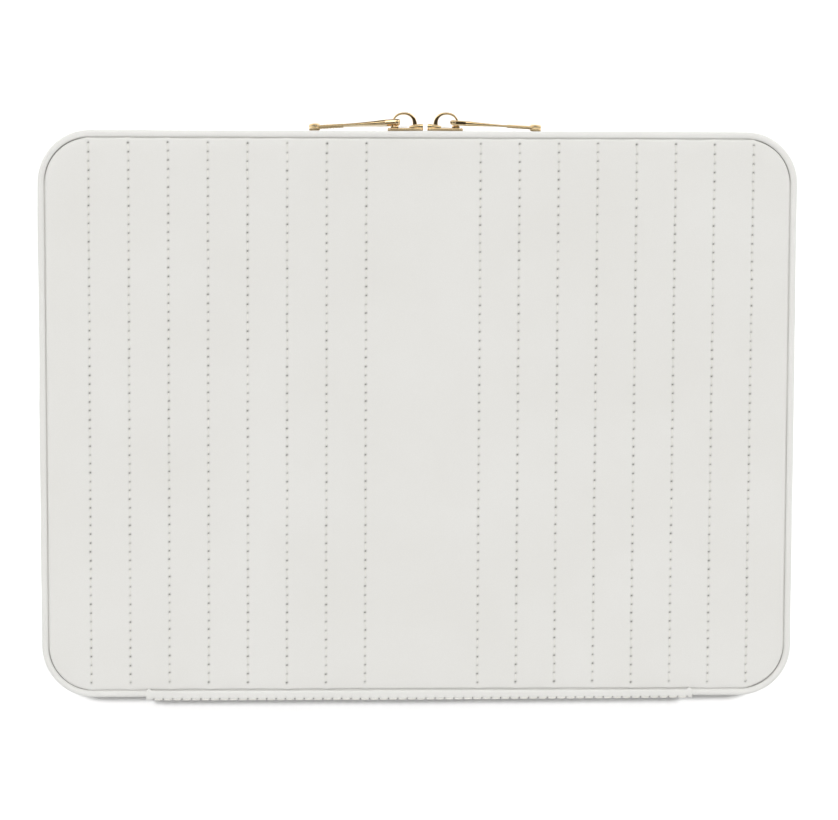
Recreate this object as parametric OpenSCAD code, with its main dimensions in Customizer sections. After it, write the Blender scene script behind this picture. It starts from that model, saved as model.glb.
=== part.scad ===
// Zip-around jewelry case: two leather-covered trays joined by a leather spine.
// The case lies on its base. +Z is up, -Y is the zip side and +Y is the spine side.
// The origin is the centre of the base's lower face. All sizes are in millimetres.

/* [Case] */
// Width over the leather walls
case_w = 290; // [240:1:360]
// Depth over the leather walls, from the zip side to the spine side
case_d = 218; // [190:1:270]
// Thickness of the closed case
case_t = 44; // [42:1:56]
// Outer corner radius, seen from above
corner_r = 20; // [14:1:26]
// Height of the zip between the two leather walls
zip_gap = 10; // [9:0.5:12]

/* [Tray layers] */
// Thickness of the leather on the side walls
leather_t = 1.4; // [1:0.1:1.8]
// Width of the turned leather rim round each outer panel
rim_w = 2.5; // [2:0.1:4]
// How far the rim is set back from the crown of the panel
rim_drop = 0.6; // [0.3:0.1:1]
// Width of the groove between the rim and the panel
groove_w = 0.6; // [0.4:0.1:1.2]
// Thickness of the padded outer panel
panel_t = 2.4; // [2:0.1:4]
// Thickness of the tray's side board
board_t = 2.4; // [2:0.1:3.5]
// Thickness of the tray's floor board
floor_t = 2; // [1.5:0.1:3]
// Thickness of the suede lining
lining_t = 1; // [0.8:0.1:1.4]
// Thickness of the lining where it turns over the top of the side board
lining_turn_t = 0.5; // [0.3:0.1:0.6]

/* [Zip] */
// Thickness of the woven tape
tape_t = 0.7; // [0.5:0.1:0.8]
// Width of tape sewn behind the leather
tape_tuck = 5; // [4:0.5:7]
// Width of one row of the coil
coil_w = 2.2; // [1.8:0.1:2.4]
// Thickness of the coil, outwards from the tape
coil_t = 1.6; // [1.4:0.1:2]
// Free gap between the two rows of the coil, where the slider's post runs
coil_gap = 1.8; // [1.6:0.1:2]
// Length of the end stops along the zip
stop_l = 2; // [1:0.5:3]

/* [Spine] */
// Length of the spine strip
strip_l = 210; // [150:1:230]
// Thickness of the spine strip
strip_t = 1.2; // [0.8:0.1:1.6]
// Thickness of the strip's lip over the rim
lip_t = 0.5; // [0.3:0.1:0.5]
// Thickness of the fabric on the inside of the spine
gusset_t = 0.9; // [0.6:0.1:1.2]

/* [Sliders] */
// Where the two sliders meet, along the width
meet_x = -3; // [-10:0.5:10]
// Length of a slider
slider_l = 13.9; // [13:0.1:16]
// Distance from the meeting point to a slider's nose
nose_gap = 0.8; // [0.4:0.1:2]
// Thickness of a slider's plates
plate_t = 1.3; // [0.8:0.1:1.5]
// Height of the lugs that carry the bail
lug_h = 1.1; // [0.6:0.1:1.4]
// Width of the bail across the zip
bail_w = 3; // [2.4:0.1:3.4]
// Outer radius of the bail's arch
bail_r = 5; // [4.8:0.1:6]
// Thickness of the bail at its crown
bail_t = 1.3; // [1:0.1:1.4]

/* [Pulls] */
// Length of a pull, from its pin to its tip
pull_l = 34.3; // [28:0.1:45]
// Width of a pull at its fork
pull_w = 6.2; // [6:0.1:7]
// Width of a pull at its waist
pull_waist_w = 4.6; // [4:0.1:6]
// Thickness of a pull
pull_t = 1.6; // [1.2:0.1:2]
// Radius of the round button at the tip
button_r = 2.3; // [2:0.1:3.5]
// Thickness of the round button
button_t = 2.7; // [2:0.1:2.9]
// Radius of the pin through the fork
pin_r = 0.6; // [0.4:0.05:0.8]
// How far the pull leans towards the wall at rest, in degrees
pull_lean = 3.5; // [0:0.1:4]

/* [Base tray] */
// Thickness of the padded dividers
divider_t = 3; // [2:0.5:5]
// How far the dividers end below the top of the side board
divider_drop = 0.5; // [0:0.5:5]
// Middle of the rear dividers, left and right of the centre
rear_divider_x = 46; // [35:1:60]
// Middle of the divider across the small compartments, along the depth
small_divider_y = -55; // [-65:1:-45]
// Diameter of a ring roll
roll_d = 15.6; // [12:0.1:17]
// Gap between two ring rolls
roll_gap = 3.2; // [2:0.1:5]
// How far a ring roll is flattened where it is glued down
roll_seat = 0.4; // [0.2:0.1:1]
// Width of the padded block at the rolls' ends
end_block_w = 13; // [12:0.5:24]

/* [Lid fittings] */
// Gap between a lid fitting and the lining round it
fitting_gap = 6; // [3:0.5:10]
// Thickness of the earring pad
pad_t = 3; // [2:0.5:4]
// Width of an earring rail
rail_w = 9; // [6:0.5:12]
// Height of an earring rail above its pad
rail_h = 5.5; // [3:0.5:6.5]
// Distance between necklace hooks
hook_pitch = 21; // [18:0.5:22]
// Depth of the bar that carries the hooks
hook_bar_d = 14; // [12:0.5:18]
// Thickness of the bar that carries the hooks
hook_bar_t = 2.6; // [2:0.1:4]
// Radius of the hook's rod
hook_r = 0.9; // [0.7:0.1:1.1]
// Bend radius of the hook's rod
hook_bend_r = 2; // [1.6:0.1:2.5]
// Length of the hook's straight stem
hook_stem = 2.3; // [1.5:0.1:3]
// Length of the hook's straight arm
hook_arm = 3; // [2:0.1:4]
// Depth of the necklace pocket
pocket_d = 70; // [50:1:90]
// Clear height inside the pocket
pocket_clear = 6.1; // [5:0.1:7]
// Thickness of the pocket's fabric
pocket_t = 0.9; // [0.6:0.1:1.2]
// Radius of the elastic hem at the pocket's mouth
hem_r = 1.2; // [0.8:0.1:1.5]

/* [Hidden] */
$fn = 96;

// Colours
leather = "ivory";
suede = "wheat";
board = "tan";
tape = "whitesmoke";
gold = "gold";

// Heights in one tray, from its outer face inwards
half_h = (case_t - zip_gap) / 2;          // edge of the leather wall
mid_z = case_t / 2;                       // middle of the zip
floor_z = panel_t + floor_t + lining_t;   // top of the lined floor
tuck_z = half_h - tape_tuck;              // hidden edge of the zip tape
coil_z = mid_z - coil_gap / 2 - coil_w;   // outer edge of the coil row
tape_end_z = mid_z - coil_gap / 2 - 0.3;  // edge of the tape under the coil's heads

// Insets from the outer outline
shell_in = leather_t;                     // outer face of the side board
tape_in = leather_t;                      // outer face of the zip tape
tape_back = tape_in + tape_t;             // inner face of the zip tape
lining_in = leather_t + board_t;          // outer face of the lining
inner_in = lining_in + lining_t;          // free space inside the lining
coil_proud = coil_t - leather_t;          // the coil stands this far out of the wall

// Half sizes of the free space inside a lined tray
room_x = case_w / 2 - inner_in;
room_y = case_d / 2 - inner_in;

// The zip ends under the ends of the spine strip
tape_end_x = strip_l / 2 - 5;
stop_x = strip_l / 2 + 0.3;
coil_end_x = stop_x + stop_l + 0.2;

// The spine folds on two lines, half a strip's thickness inside its outer face
fold_z = half_h - 0.2;
fold_clear = strip_t / 2 + 0.2;
gusset_gap = 0.9;

// Slider: local x runs along the zip from the meeting point, local -y is outwards
play = 0.15;
row_clear = 0.3;
row_spare = zip_gap / 2 - coil_gap / 2 - coil_w;
flange_t = (row_spare - row_clear) / 2;
side_gap = row_spare - row_clear - flange_t;
slider_w = zip_gap - 2 * side_gap;
plate_out = coil_proud + play;            // underside of the outer plate
plate_in = tape_back + play;              // upper side of the inner plate
crown = plate_out + plate_t;              // outer face of the outer plate
post_t = coil_gap - 0.4;
tail_end = nose_gap + slider_l;
bail_x = nose_gap + 2.3 + bail_r;         // middle of the bail's arch
lug_top = crown + lug_h;
bail_y = lug_top - 0.45;                  // its centre lies under the lugs' tops
arch_y = bail_y + 0.05;
bail_leg = bail_t + 0.1;                  // thick leg by the nose
bail_tail = bail_t - 0.5;                 // thin leg that the fork straddles
tail_lug_l = 1.4;
arch_x = bail_x + (bail_leg - bail_tail) / 2 - 0.1;
arch_r = bail_r - (bail_leg + bail_tail) / 2 + 0.1;

// Pull: the pin runs inside the bail, close to its thin leg
pin_x = bail_x + bail_r - bail_tail - pin_r - 0.7;
pin_y = bail_y + 1.4;
eye_r = pin_r + 0.7;
cheek_in = bail_w / 2 + 0.4;
fork_l = 4.3;

// Each roll, rail and hook is a node of its own, so their numbers are fixed
roll_n = 5;
rail_n = 4;
hook_n = 6;

// Base tray
divider_top = half_h - divider_drop;
roll_pitch = roll_d + roll_gap;
cross_front = roll_n * roll_pitch - room_y;
cross_back = cross_front + divider_t;
roll_x0 = end_block_w - room_x;
roll_x1 = -divider_t / 2;

// Lid fittings share the free space, left and right of the centre
fit_x0 = fitting_gap;
fit_x1 = room_x - fitting_gap;
fit_w = fit_x1 - fit_x0;
fit_mid = (fit_x0 + fit_x1) / 2;
fit_y = room_y - fitting_gap;
fit_r = 4;
rail_r = 2;
plate_h = 0.8;
pocket_top = floor_z + pocket_clear + pocket_t;
pocket_y = fit_y - pocket_d;

// Rounded rectangle, inset from the outer outline of the case
module outline(inset) {
    w = case_w - 2 * inset;
    d = case_d - 2 * inset;
    r = corner_r - inset;
    square([w - 2 * r, d], center = true);
    square([w, d - 2 * r], center = true);
    for (x = [-1, 1], y = [-1, 1])
        translate([x * (w / 2 - r), y * (d / 2 - r)]) circle(r);
}

// Ring between two insets
module ring(outer, inner) {
    difference() {
        outline(outer);
        outline(inner);
    }
}

// The same ring, open along the spine between -end_x and end_x
module zip_path(outer, inner, end_x) {
    difference() {
        ring(outer, inner);
        translate([-end_x, 0]) square([2 * end_x, case_d]);
    }
}

// Raises a flat shape from z0 to z1
module rise(z0, z1) {
    translate([0, 0, z0]) linear_extrude(z1 - z0) children();
}

// Rectangle with rounded corners, given by two opposite corners
module rounded_plate(x0, y0, x1, y1, r) {
    translate([x0 + r, y0]) square([x1 - x0 - 2 * r, y1 - y0]);
    translate([x0, y0 + r]) square([x1 - x0, y1 - y0 - 2 * r]);
    for (x = [x0 + r, x1 - r], y = [y0 + r, y1 - r])
        translate([x, y]) circle(r);
}

// A shape that is drawn in the base tray, turned over into the lid
module in_lid() {
    translate([0, 0, case_t]) mirror([0, 0, 1]) children();
}

// A shape that is drawn in slider coordinates, on one side of the meeting point
module at_slider(side) {
    translate([meet_x, -case_d / 2, mid_z])
        mirror([side > 0 ? 0 : 1, 0, 0]) children();
}

// A profile in the plane along the zip and outwards, given thickness across the zip
module across(w0, w1) {
    translate([0, 0, w0]) linear_extrude(w1 - w0) mirror([0, 1]) children();
}

// A plate along and across the zip, from v0 to v1 outwards
module outwards(v0, v1) {
    translate([0, -v0, 0]) rotate([90, 0, 0]) linear_extrude(v1 - v0) children();
}

// ---- The two trays: the base, and the lid turned over ----------------------

module tray_panel() {
    color(leather) rise(0, panel_t) outline(rim_w + groove_w);
}

module tray_wall() {
    color(leather) {
        rise(rim_drop, panel_t) ring(0, rim_w);
        rise(panel_t, half_h) ring(0, leather_t);
    }
}

module tray_shell() {
    color(board) difference() {
        rise(panel_t, half_h) outline(shell_in);
        rise(panel_t + floor_t, half_h + 1) outline(lining_in);
        rise(tuck_z, half_h + 1) zip_path(tape_in - 1, tape_back, tape_end_x);
    }
}

module tray_lining() {
    color(suede) difference() {
        union() {
            rise(panel_t + floor_t, half_h) outline(lining_in);
            rise(half_h, half_h + lining_turn_t) outline(tape_back);
        }
        rise(floor_z, half_h + lining_turn_t + 1) outline(inner_in);
    }
}

module zip_tape() {
    color(tape) rise(tuck_z, tape_end_z) zip_path(tape_in, tape_back, tape_end_x);
}

module zip_coil() {
    color(tape) rise(coil_z, coil_z + coil_w) zip_path(-coil_proud, tape_in, coil_end_x);
}

// One stop at each end of the coil
module zip_stops() {
    color(gold) for (side = [-1, 1])
        translate([side * (stop_x + stop_l / 2) - stop_l / 2, case_d / 2 - tape_in, coil_z])
            cube([stop_l, coil_t, coil_w]);
}

// Strip on the outside of one tray's rear wall, with a lip over the rim
module spine_strip() {
    color(leather) translate([-strip_l / 2, case_d / 2, 0]) rotate([90, 0, 90])
        linear_extrude(strip_l) polygon([
            [0, rim_drop], [0, fold_z - fold_clear], [strip_t, fold_z - fold_clear],
            [strip_t, rim_drop - lip_t], [-rim_w, rim_drop - lip_t], [-rim_w, rim_drop],
        ]);
}

// ---- The spine, which folds on both trays -----------------------------------

module spine_band() {
    height = case_t - 2 * (fold_z + fold_clear);
    color(leather) translate([-strip_l / 2, case_d / 2, fold_z + fold_clear])
        cube([strip_l, strip_t, height]);
}

module spine_gusset() {
    length = 2 * tape_end_x - 2;
    height = zip_gap - 2 * gusset_gap;
    color(suede) translate([-length / 2, case_d / 2 - gusset_t, half_h + gusset_gap])
        cube([length, gusset_t, height]);
}

// ---- Base tray fittings -------------------------------------------------------

// Divider given by two opposite corners on the floor
module divider(x0, y0, x1, y1) {
    color(suede) translate([x0, y0, floor_z]) cube([x1 - x0, y1 - y0, divider_top - floor_z]);
}

module cross_divider() {
    divider(-room_x, cross_front, room_x, cross_back);
}

module front_divider() {
    divider(-divider_t / 2, -room_y, divider_t / 2, cross_front);
}

module small_divider_long() {
    divider(divider_t / 2, small_divider_y - divider_t / 2, room_x, small_divider_y + divider_t / 2);
}

module small_divider_short() {
    mid = (divider_t / 2 + room_x) / 2;
    divider(mid - divider_t / 2, -room_y, mid + divider_t / 2, small_divider_y - divider_t / 2);
}

// Divider on one side of the centre
module rear_divider(side) {
    x = side * rear_divider_x;
    divider(x - divider_t / 2, cross_back, x + divider_t / 2, room_y);
}

// Padded block that fills the tray's corner beside the rolls
module ring_end_block() {
    color(suede) rise(floor_z, divider_top) intersection() {
        outline(inner_in);
        translate([-room_x - 1, -room_y - 1])
            square([end_block_w + 1, room_y + 1 + cross_front]);
    }
}

// Ring roll, cut flat where it is glued to the floor
module ring_roll(n) {
    y = (n - 0.5) * roll_pitch - room_y;
    drop = roll_d / 2 - roll_seat;
    color(suede) translate([roll_x0, y, floor_z + drop]) rotate([90, 0, 90])
        linear_extrude(roll_x1 - roll_x0) intersection() {
            circle(d = roll_d);
            translate([-roll_d, -drop]) square(2 * roll_d);
        }
}

// ---- Lid fittings, drawn as in a tray and turned over -------------------------

module earring_pad() {
    color(suede) rise(floor_z, floor_z + pad_t)
        rounded_plate(-fit_x1, -fit_y, -fit_x0, fit_y, fit_r);
}

// Rounded rail along the width of the earring pad
module earring_rail(n) {
    y = (n - 0.5) * 2 * fit_y / rail_n - fit_y;
    color(suede) translate([fit_r - fit_x1, y, floor_z + pad_t]) rotate([90, 0, 90])
        linear_extrude(fit_w - 2 * fit_r) {
            translate([-rail_w / 2, 0]) square([rail_w, rail_h - rail_r]);
            translate([rail_r - rail_w / 2, 0]) square([rail_w - 2 * rail_r, rail_h]);
            for (side = [-1, 1])
                translate([side * (rail_w / 2 - rail_r), rail_h - rail_r]) circle(rail_r);
        }
}

module necklace_bar() {
    color(suede) rise(floor_z, floor_z + hook_bar_t)
        rounded_plate(fit_x0, -fit_y, fit_x1, -fit_y + hook_bar_d, fit_r);
}

// Hook with a plate, a bent rod and a round end
module necklace_hook(n) {
    x = fit_mid + (n - (hook_n + 1) / 2) * hook_pitch;
    color(gold) translate([x, hook_bar_d / 2 + 3 - fit_y, floor_z + hook_bar_t]) {
        rise(0, plate_h) rounded_plate(-4, -4.5, 4, 2.5, 1.5);
        translate([0, 0, plate_h]) cylinder(h = hook_stem, r = hook_r);
        translate([0, -hook_bend_r, plate_h + hook_stem]) rotate([90, 0, 90])
            rotate_extrude(angle = 90) translate([hook_bend_r, 0]) circle(hook_r);
        translate([0, -hook_bend_r, plate_h + hook_stem + hook_bend_r]) rotate([90, 0, 0]) {
            cylinder(h = hook_arm, r = hook_r);
            translate([0, 0, hook_arm]) sphere(hook_r * 1.35);
        }
    }
}

// Fabric pocket, open towards the hooks
module necklace_pocket() {
    color(suede) difference() {
        rise(floor_z, pocket_top) rounded_plate(fit_x0, pocket_y, fit_x1, fit_y, fit_r);
        translate([fit_x0 + pocket_t, pocket_y - 1, floor_z - 1])
            cube([fit_w - 2 * pocket_t, pocket_d + 1 - pocket_t, pocket_clear + 1]);
    }
}

// Rolled elastic hem along the pocket's mouth
module pocket_elastic() {
    color(suede) translate([fit_x0 + fit_r, pocket_y, pocket_top - hem_r]) rotate([90, 0, 90])
        linear_extrude(fit_w - 2 * fit_r) intersection() {
            translate([-hem_r / 2, 0]) circle(hem_r);
            translate([-2 * hem_r, -hem_r]) square(2 * hem_r);
        }
}

// ---- Sliders and pulls ----------------------------------------------------------

// Slider plate, broad at the nose and narrower at the tail
module slider_plate(x0, x1, w) {
    nose_r = w * 0.26;
    tail_r = w * 0.18;
    tail_w = w * 0.78;
    shoulder = x0 + w * 0.7;
    for (side = [-1, 1]) {
        translate([x0 + nose_r, side * (w / 2 - nose_r)]) circle(nose_r);
        translate([x1 - tail_r, side * (tail_w / 2 - tail_r)]) circle(tail_r);
    }
    translate([x0, nose_r - w / 2]) square([nose_r, w - 2 * nose_r]);
    polygon([
        [x0 + nose_r, -w / 2], [shoulder, -w / 2], [x1 - tail_r, -tail_w / 2],
        [x1 - tail_r, tail_w / 2], [shoulder, w / 2], [x0 + nose_r, w / 2],
    ]);
    translate([x1 - tail_r, tail_r - tail_w / 2]) square([tail_r, tail_w - 2 * tail_r]);
}

// Two plates on a post. The flange hooks round the base's row of the coil only,
// so the lid's row lifts out.
module slider_body() {
    color(gold) {
        outwards(plate_out, crown) slider_plate(nose_gap, tail_end, slider_w);
        outwards(-plate_in - plate_t, -plate_in)
            slider_plate(nose_gap + 0.4, tail_end - 1.2, slider_w);
        outwards(-plate_in, plate_out) polygon([
            [nose_gap + 0.6, 0], [nose_gap + 2, post_t / 2], [nose_gap + 4, post_t / 2],
            [nose_gap + 5.6, 0], [nose_gap + 4, -post_t / 2], [nose_gap + 2, -post_t / 2],
        ]);
        outwards(0.2 - tape_in, plate_out)
            translate([nose_gap + 2.5, -slider_w / 2]) square([3, flange_t]);
        outwards(plate_out, lug_top) {
            translate([nose_gap + 0.9, -bail_w / 2])
                square([arch_x - arch_r - nose_gap - 0.9, bail_w]);
            translate([arch_x + arch_r, -bail_w / 2]) square([tail_lug_l, bail_w]);
        }
    }
}

// Arch with a thick leg by the nose and a thin leg behind
module slider_bail() {
    color(gold) across(-bail_w / 2, bail_w / 2) difference() {
        intersection() {
            translate([bail_x, bail_y]) circle(bail_r);
            translate([0, lug_top]) square([2 * bail_x, 4 * bail_r]);
        }
        translate([arch_x, arch_y]) circle(arch_r);
    }
}

// A shape in pull coordinates: local x runs from the pin to the tip
module at_pin() {
    translate([pin_x, -pin_y, 0]) rotate([0, 0, pull_lean]) children();
}

// Flat bar with a forked end and a round button at its tip
module pull_bar() {
    color(gold) at_pin() difference() {
        union() {
            outwards(-pull_t / 2, pull_t / 2) polygon([
                [0, -pull_w / 2], [fork_l + 2, -pull_w / 2], [fork_l + 7, -pull_waist_w / 2],
                [pull_l - button_r, -pull_waist_w / 2], [pull_l - button_r, pull_waist_w / 2],
                [fork_l + 7, pull_waist_w / 2], [fork_l + 2, pull_w / 2], [0, pull_w / 2],
            ]);
            across(-pull_w / 2, pull_w / 2) circle(eye_r);
            outwards(-button_t / 2, button_t / 2)
                translate([pull_l - button_r, 0]) circle(button_r);
        }
        translate([-2 * eye_r, -2 * eye_r, -cheek_in])
            cube([2 * eye_r + fork_l, 4 * eye_r, 2 * cheek_in]);
        translate([0, 0, -pull_w]) cylinder(h = 2 * pull_w, r = pin_r);
    }
}

module pull_pin() {
    length = pull_w + 0.4;
    color(gold) at_pin() translate([0, 0, -length / 2]) cylinder(h = length, r = pin_r);
}

// ---- Nodes ------------------------------------------------------------------------

tray_panel();  // base_panel
tray_wall();  // base_wall
tray_shell();  // base_shell
tray_lining();  // base_lining
zip_tape();  // base_zip_tape
zip_coil();  // base_zip_coil
zip_stops();  // base_zip_stops
spine_strip();  // spine_strip_lower
cross_divider();
front_divider();
small_divider_long();
small_divider_short();
rear_divider(-1);  // rear_divider_left
rear_divider(1);  // rear_divider_right
ring_end_block();
ring_roll(1);  // ring_roll_1
ring_roll(2);  // ring_roll_2
ring_roll(3);  // ring_roll_3
ring_roll(4);  // ring_roll_4
ring_roll(5);  // ring_roll_5
spine_band();
spine_gusset();
in_lid() tray_panel();  // lid_panel
in_lid() tray_wall();  // lid_wall
in_lid() tray_shell();  // lid_shell
in_lid() tray_lining();  // lid_lining
in_lid() zip_tape();  // lid_zip_tape
in_lid() zip_coil();  // lid_zip_coil
in_lid() zip_stops();  // lid_zip_stops
in_lid() spine_strip();  // spine_strip_upper
in_lid() earring_pad();
in_lid() earring_rail(1);  // earring_rail_1
in_lid() earring_rail(2);  // earring_rail_2
in_lid() earring_rail(3);  // earring_rail_3
in_lid() earring_rail(4);  // earring_rail_4
in_lid() necklace_bar();
in_lid() necklace_hook(1);  // necklace_hook_1
in_lid() necklace_hook(2);  // necklace_hook_2
in_lid() necklace_hook(3);  // necklace_hook_3
in_lid() necklace_hook(4);  // necklace_hook_4
in_lid() necklace_hook(5);  // necklace_hook_5
in_lid() necklace_hook(6);  // necklace_hook_6
in_lid() necklace_pocket();
in_lid() pocket_elastic();
at_slider(-1) slider_body();  // slider_body_left
at_slider(-1) slider_bail();  // slider_bail_left
at_slider(-1) pull_bar();  // pull_bar_left
at_slider(-1) pull_pin();  // pull_pin_left
at_slider(1) slider_body();  // slider_body_right
at_slider(1) slider_bail();  // slider_bail_right
at_slider(1) pull_bar();  // pull_bar_right
at_slider(1) pull_pin();  // pull_pin_right
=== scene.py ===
# %% [markdown]
# # A zip-around jewelry case
# Two shallow trays lie face to face. A zip with two sliders closes them on three sides, and a
# leather spine hinges them on the fourth. Both covers are padded and quilted in ivory leather.
#
# The frame holds the case's bodies, joints and sizes. Everything here is built around it, in
# metres, with +Z up, the zip's front stretch at -Y and the spine at +Y.

# %% Load the frame
import math

import bmesh
import bpy
import numpy as np
from mathutils import Matrix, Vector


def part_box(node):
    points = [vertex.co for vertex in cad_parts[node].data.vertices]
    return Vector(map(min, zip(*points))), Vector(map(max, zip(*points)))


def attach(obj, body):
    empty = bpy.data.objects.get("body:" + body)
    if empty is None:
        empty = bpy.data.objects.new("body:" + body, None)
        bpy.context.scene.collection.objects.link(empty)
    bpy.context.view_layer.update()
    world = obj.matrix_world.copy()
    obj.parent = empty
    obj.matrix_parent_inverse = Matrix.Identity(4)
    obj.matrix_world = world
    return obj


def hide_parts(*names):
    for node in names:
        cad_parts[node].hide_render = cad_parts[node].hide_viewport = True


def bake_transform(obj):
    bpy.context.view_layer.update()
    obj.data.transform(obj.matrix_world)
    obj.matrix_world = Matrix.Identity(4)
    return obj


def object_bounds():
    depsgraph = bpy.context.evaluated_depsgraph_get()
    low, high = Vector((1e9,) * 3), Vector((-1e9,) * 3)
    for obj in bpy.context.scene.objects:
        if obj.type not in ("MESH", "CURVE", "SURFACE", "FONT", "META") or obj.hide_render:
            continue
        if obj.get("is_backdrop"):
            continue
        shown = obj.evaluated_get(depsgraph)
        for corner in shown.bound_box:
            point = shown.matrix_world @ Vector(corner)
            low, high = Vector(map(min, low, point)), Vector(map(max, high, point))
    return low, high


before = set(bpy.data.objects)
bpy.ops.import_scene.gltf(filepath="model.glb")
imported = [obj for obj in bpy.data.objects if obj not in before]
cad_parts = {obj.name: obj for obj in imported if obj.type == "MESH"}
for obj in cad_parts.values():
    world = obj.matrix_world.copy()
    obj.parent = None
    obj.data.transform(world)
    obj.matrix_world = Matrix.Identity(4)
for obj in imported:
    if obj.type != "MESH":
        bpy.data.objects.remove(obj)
cad_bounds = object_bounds()

# %% [markdown]
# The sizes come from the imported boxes, so the looks follow the frame if it changes. Heights in a
# tray are counted from its outer face inwards. The lid is the same tray turned over.

# %% Sizes of the case
MM = 0.001
wall_low, wall_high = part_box("lid_wall")
HALF_X = wall_high.x
HALF_Y = wall_high.y
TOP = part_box("lid_panel")[1].z
MID = TOP / 2
EDGE = TOP - wall_low.z
PANEL_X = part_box("lid_panel")[1].x
PANEL_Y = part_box("lid_panel")[1].y
PANEL_IN = HALF_X - PANEL_X
CORNER = 20 * MM
print("case", round(2 * HALF_X / MM), "x", round(2 * HALF_Y / MM), "x", round(TOP / MM), "mm")

# %% [markdown]
# The stage is a white table. One soft sun stands high over the zip side, so that only a thin
# shadow shows along the spine side. The sun itself doesn't show in reflections, because a bare
# sun would turn all the polished metal white.

# %% Table and sun
def link(obj):
    bpy.context.scene.collection.objects.link(obj)
    return obj


def make_sun(name, strength, angle, tilt_x, tilt_y):
    """A sun that is tilted away from straight down, in degrees."""
    light = bpy.data.lights.new(name, "SUN")
    light.energy = strength
    light.angle = math.radians(angle)
    lamp = link(bpy.data.objects.new(name, light))
    lamp.rotation_euler = (math.radians(tilt_x), math.radians(tilt_y), 0)
    lamp.visible_glossy = False


make_sun("key_sun", strength=2.30, angle=3, tilt_x=13.3, tilt_y=0.5)

TABLE_HALF = 4.0
table_mesh = bpy.data.meshes.new("table")
table_corners = [(x * TABLE_HALF, y * TABLE_HALF, 0) for x, y in ((-1, -1), (1, -1), (1, 1), (-1, 1))]
table_mesh.from_pydata(table_corners, [], [(0, 1, 2, 3)])
table = link(bpy.data.objects.new("table", table_mesh))
table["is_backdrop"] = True
print("table", 2 * TABLE_HALF, "m wide under one sun")

# %% [markdown]
# The sky is painted by direction. It is bright near the horizon, which lights the walls, and
# almost black overhead, with one long lamp over the zip side. So the polished gold has something
# dark and something bright to reflect, which is what makes it read as metal.

# %% Sky
HORIZON, OVERHEAD = (0.95, 0.95, 0.96, 1), (0.05, 0.045, 0.04, 1)
SKY_LEVELS = ((0.45, 0.90), (0.60, 0.35), (0.70, 0.08))  # height of the direction, and grey there
LAMP_TOWARDS_Y, LAMP_HALF_WIDTH = -0.33, 0.07
LAMP_COLOUR = (2.4, 2.36, 2.25, 1)

world = bpy.data.worlds.new("sky")
bpy.context.scene.world = world
world.use_nodes = True
sky = world.node_tree


def sky_node(kind, **settings):
    node = sky.nodes.new("ShaderNode" + kind)
    for key, value in settings.items():
        setattr(node, key, value)
    return node


direction = sky_node("TexCoord")
split = sky_node("SeparateXYZ")
ramp = sky_node("ValToRGB")
in_width = sky_node("Math", operation="COMPARE")
above = sky_node("MapRange", interpolation_type="SMOOTHSTEP")
lamp_mask = sky_node("Math", operation="MULTIPLY")
with_lamp = sky_node("MixRGB")
in_width.inputs[1].default_value, in_width.inputs[2].default_value = LAMP_TOWARDS_Y, LAMP_HALF_WIDTH
above.inputs[1].default_value, above.inputs[2].default_value = 0.5, 0.6
with_lamp.inputs["Color2"].default_value = LAMP_COLOUR
for start, end in (
        (direction.outputs["Generated"], split.inputs[0]), (split.outputs["Z"], ramp.inputs[0]),
        (split.outputs["Y"], in_width.inputs[0]), (split.outputs["Z"], above.inputs[0]),
        (in_width.outputs[0], lamp_mask.inputs[0]), (above.outputs[0], lamp_mask.inputs[1]),
        (lamp_mask.outputs[0], with_lamp.inputs["Fac"]), (ramp.outputs[0], with_lamp.inputs["Color1"]),
        (with_lamp.outputs[0], sky.nodes["Background"].inputs["Color"])):
    sky.links.new(start, end)
first_stop, last_stop = ramp.color_ramp.elements
first_stop.position, last_stop.position = 0.0, 0.92
first_stop.color, last_stop.color = HORIZON, OVERHEAD
for height, level in SKY_LEVELS:
    ramp.color_ramp.elements.new(height).color = (level, level, level, 1)
bpy.context.scene.view_settings.view_transform = "Standard"
bpy.context.scene.view_settings.look = "None"
print("sky made, with", len(ramp.color_ramp.elements), "levels")

# %% [markdown]
# The camera looks down on the lid from about a metre, from slightly over the zip side. Its lens
# is long, so the case's sides are almost parallel.

# %% Camera
CAMERA_DISTANCE = 1.0
LENS = 111.94
LEAN_TO_ZIP = math.radians(4.95)
LEAN_TO_SIDE = math.radians(1.7)
ROLL = math.radians(0.15)
AIM = np.array([-0.25, -2.5, TOP / MM]) * MM

camera_data = bpy.data.cameras.new("camera")
camera_data.sensor_width = 36
camera_data.lens = LENS
camera_data.clip_start = 0.05
camera = link(bpy.data.objects.new("camera", camera_data))
back = np.array([math.sin(LEAN_TO_SIDE) * math.cos(LEAN_TO_ZIP), -math.sin(LEAN_TO_ZIP),
                 math.cos(LEAN_TO_ZIP) * math.cos(LEAN_TO_SIDE)])
back /= np.linalg.norm(back)
right = np.cross(-back, (0, -1, 0))
right /= np.linalg.norm(right)
up = np.cross(right, -back)
rolled_right = right * math.cos(ROLL) + up * math.sin(ROLL)
rolled_up = up * math.cos(ROLL) - right * math.sin(ROLL)
place = np.identity(4)
place[:3, 0], place[:3, 1], place[:3, 2] = rolled_right, rolled_up, back
place[:3, 3] = AIM + back * CAMERA_DISTANCE
camera.matrix_world = Matrix(place.tolist())
bpy.context.scene.camera = camera

# %% [markdown]
# ## Finishes
# Effects that several materials share are node groups. Each one puts out a colour, a value or a
# height, and each material sets its own amounts. The helper below adds a node, sets what is
# given, and links any input whose value is another node's output.

# %% Node helpers
def add(tree, kind, inputs=None, **settings):
    node = tree.nodes.new("ShaderNode" + kind)
    for key, value in settings.items():
        setattr(node, key, value)
    for key, value in (inputs or {}).items():
        if isinstance(value, bpy.types.NodeSocket):
            tree.links.new(value, node.inputs[key])
        else:
            node.inputs[key].default_value = value
    return node


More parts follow.
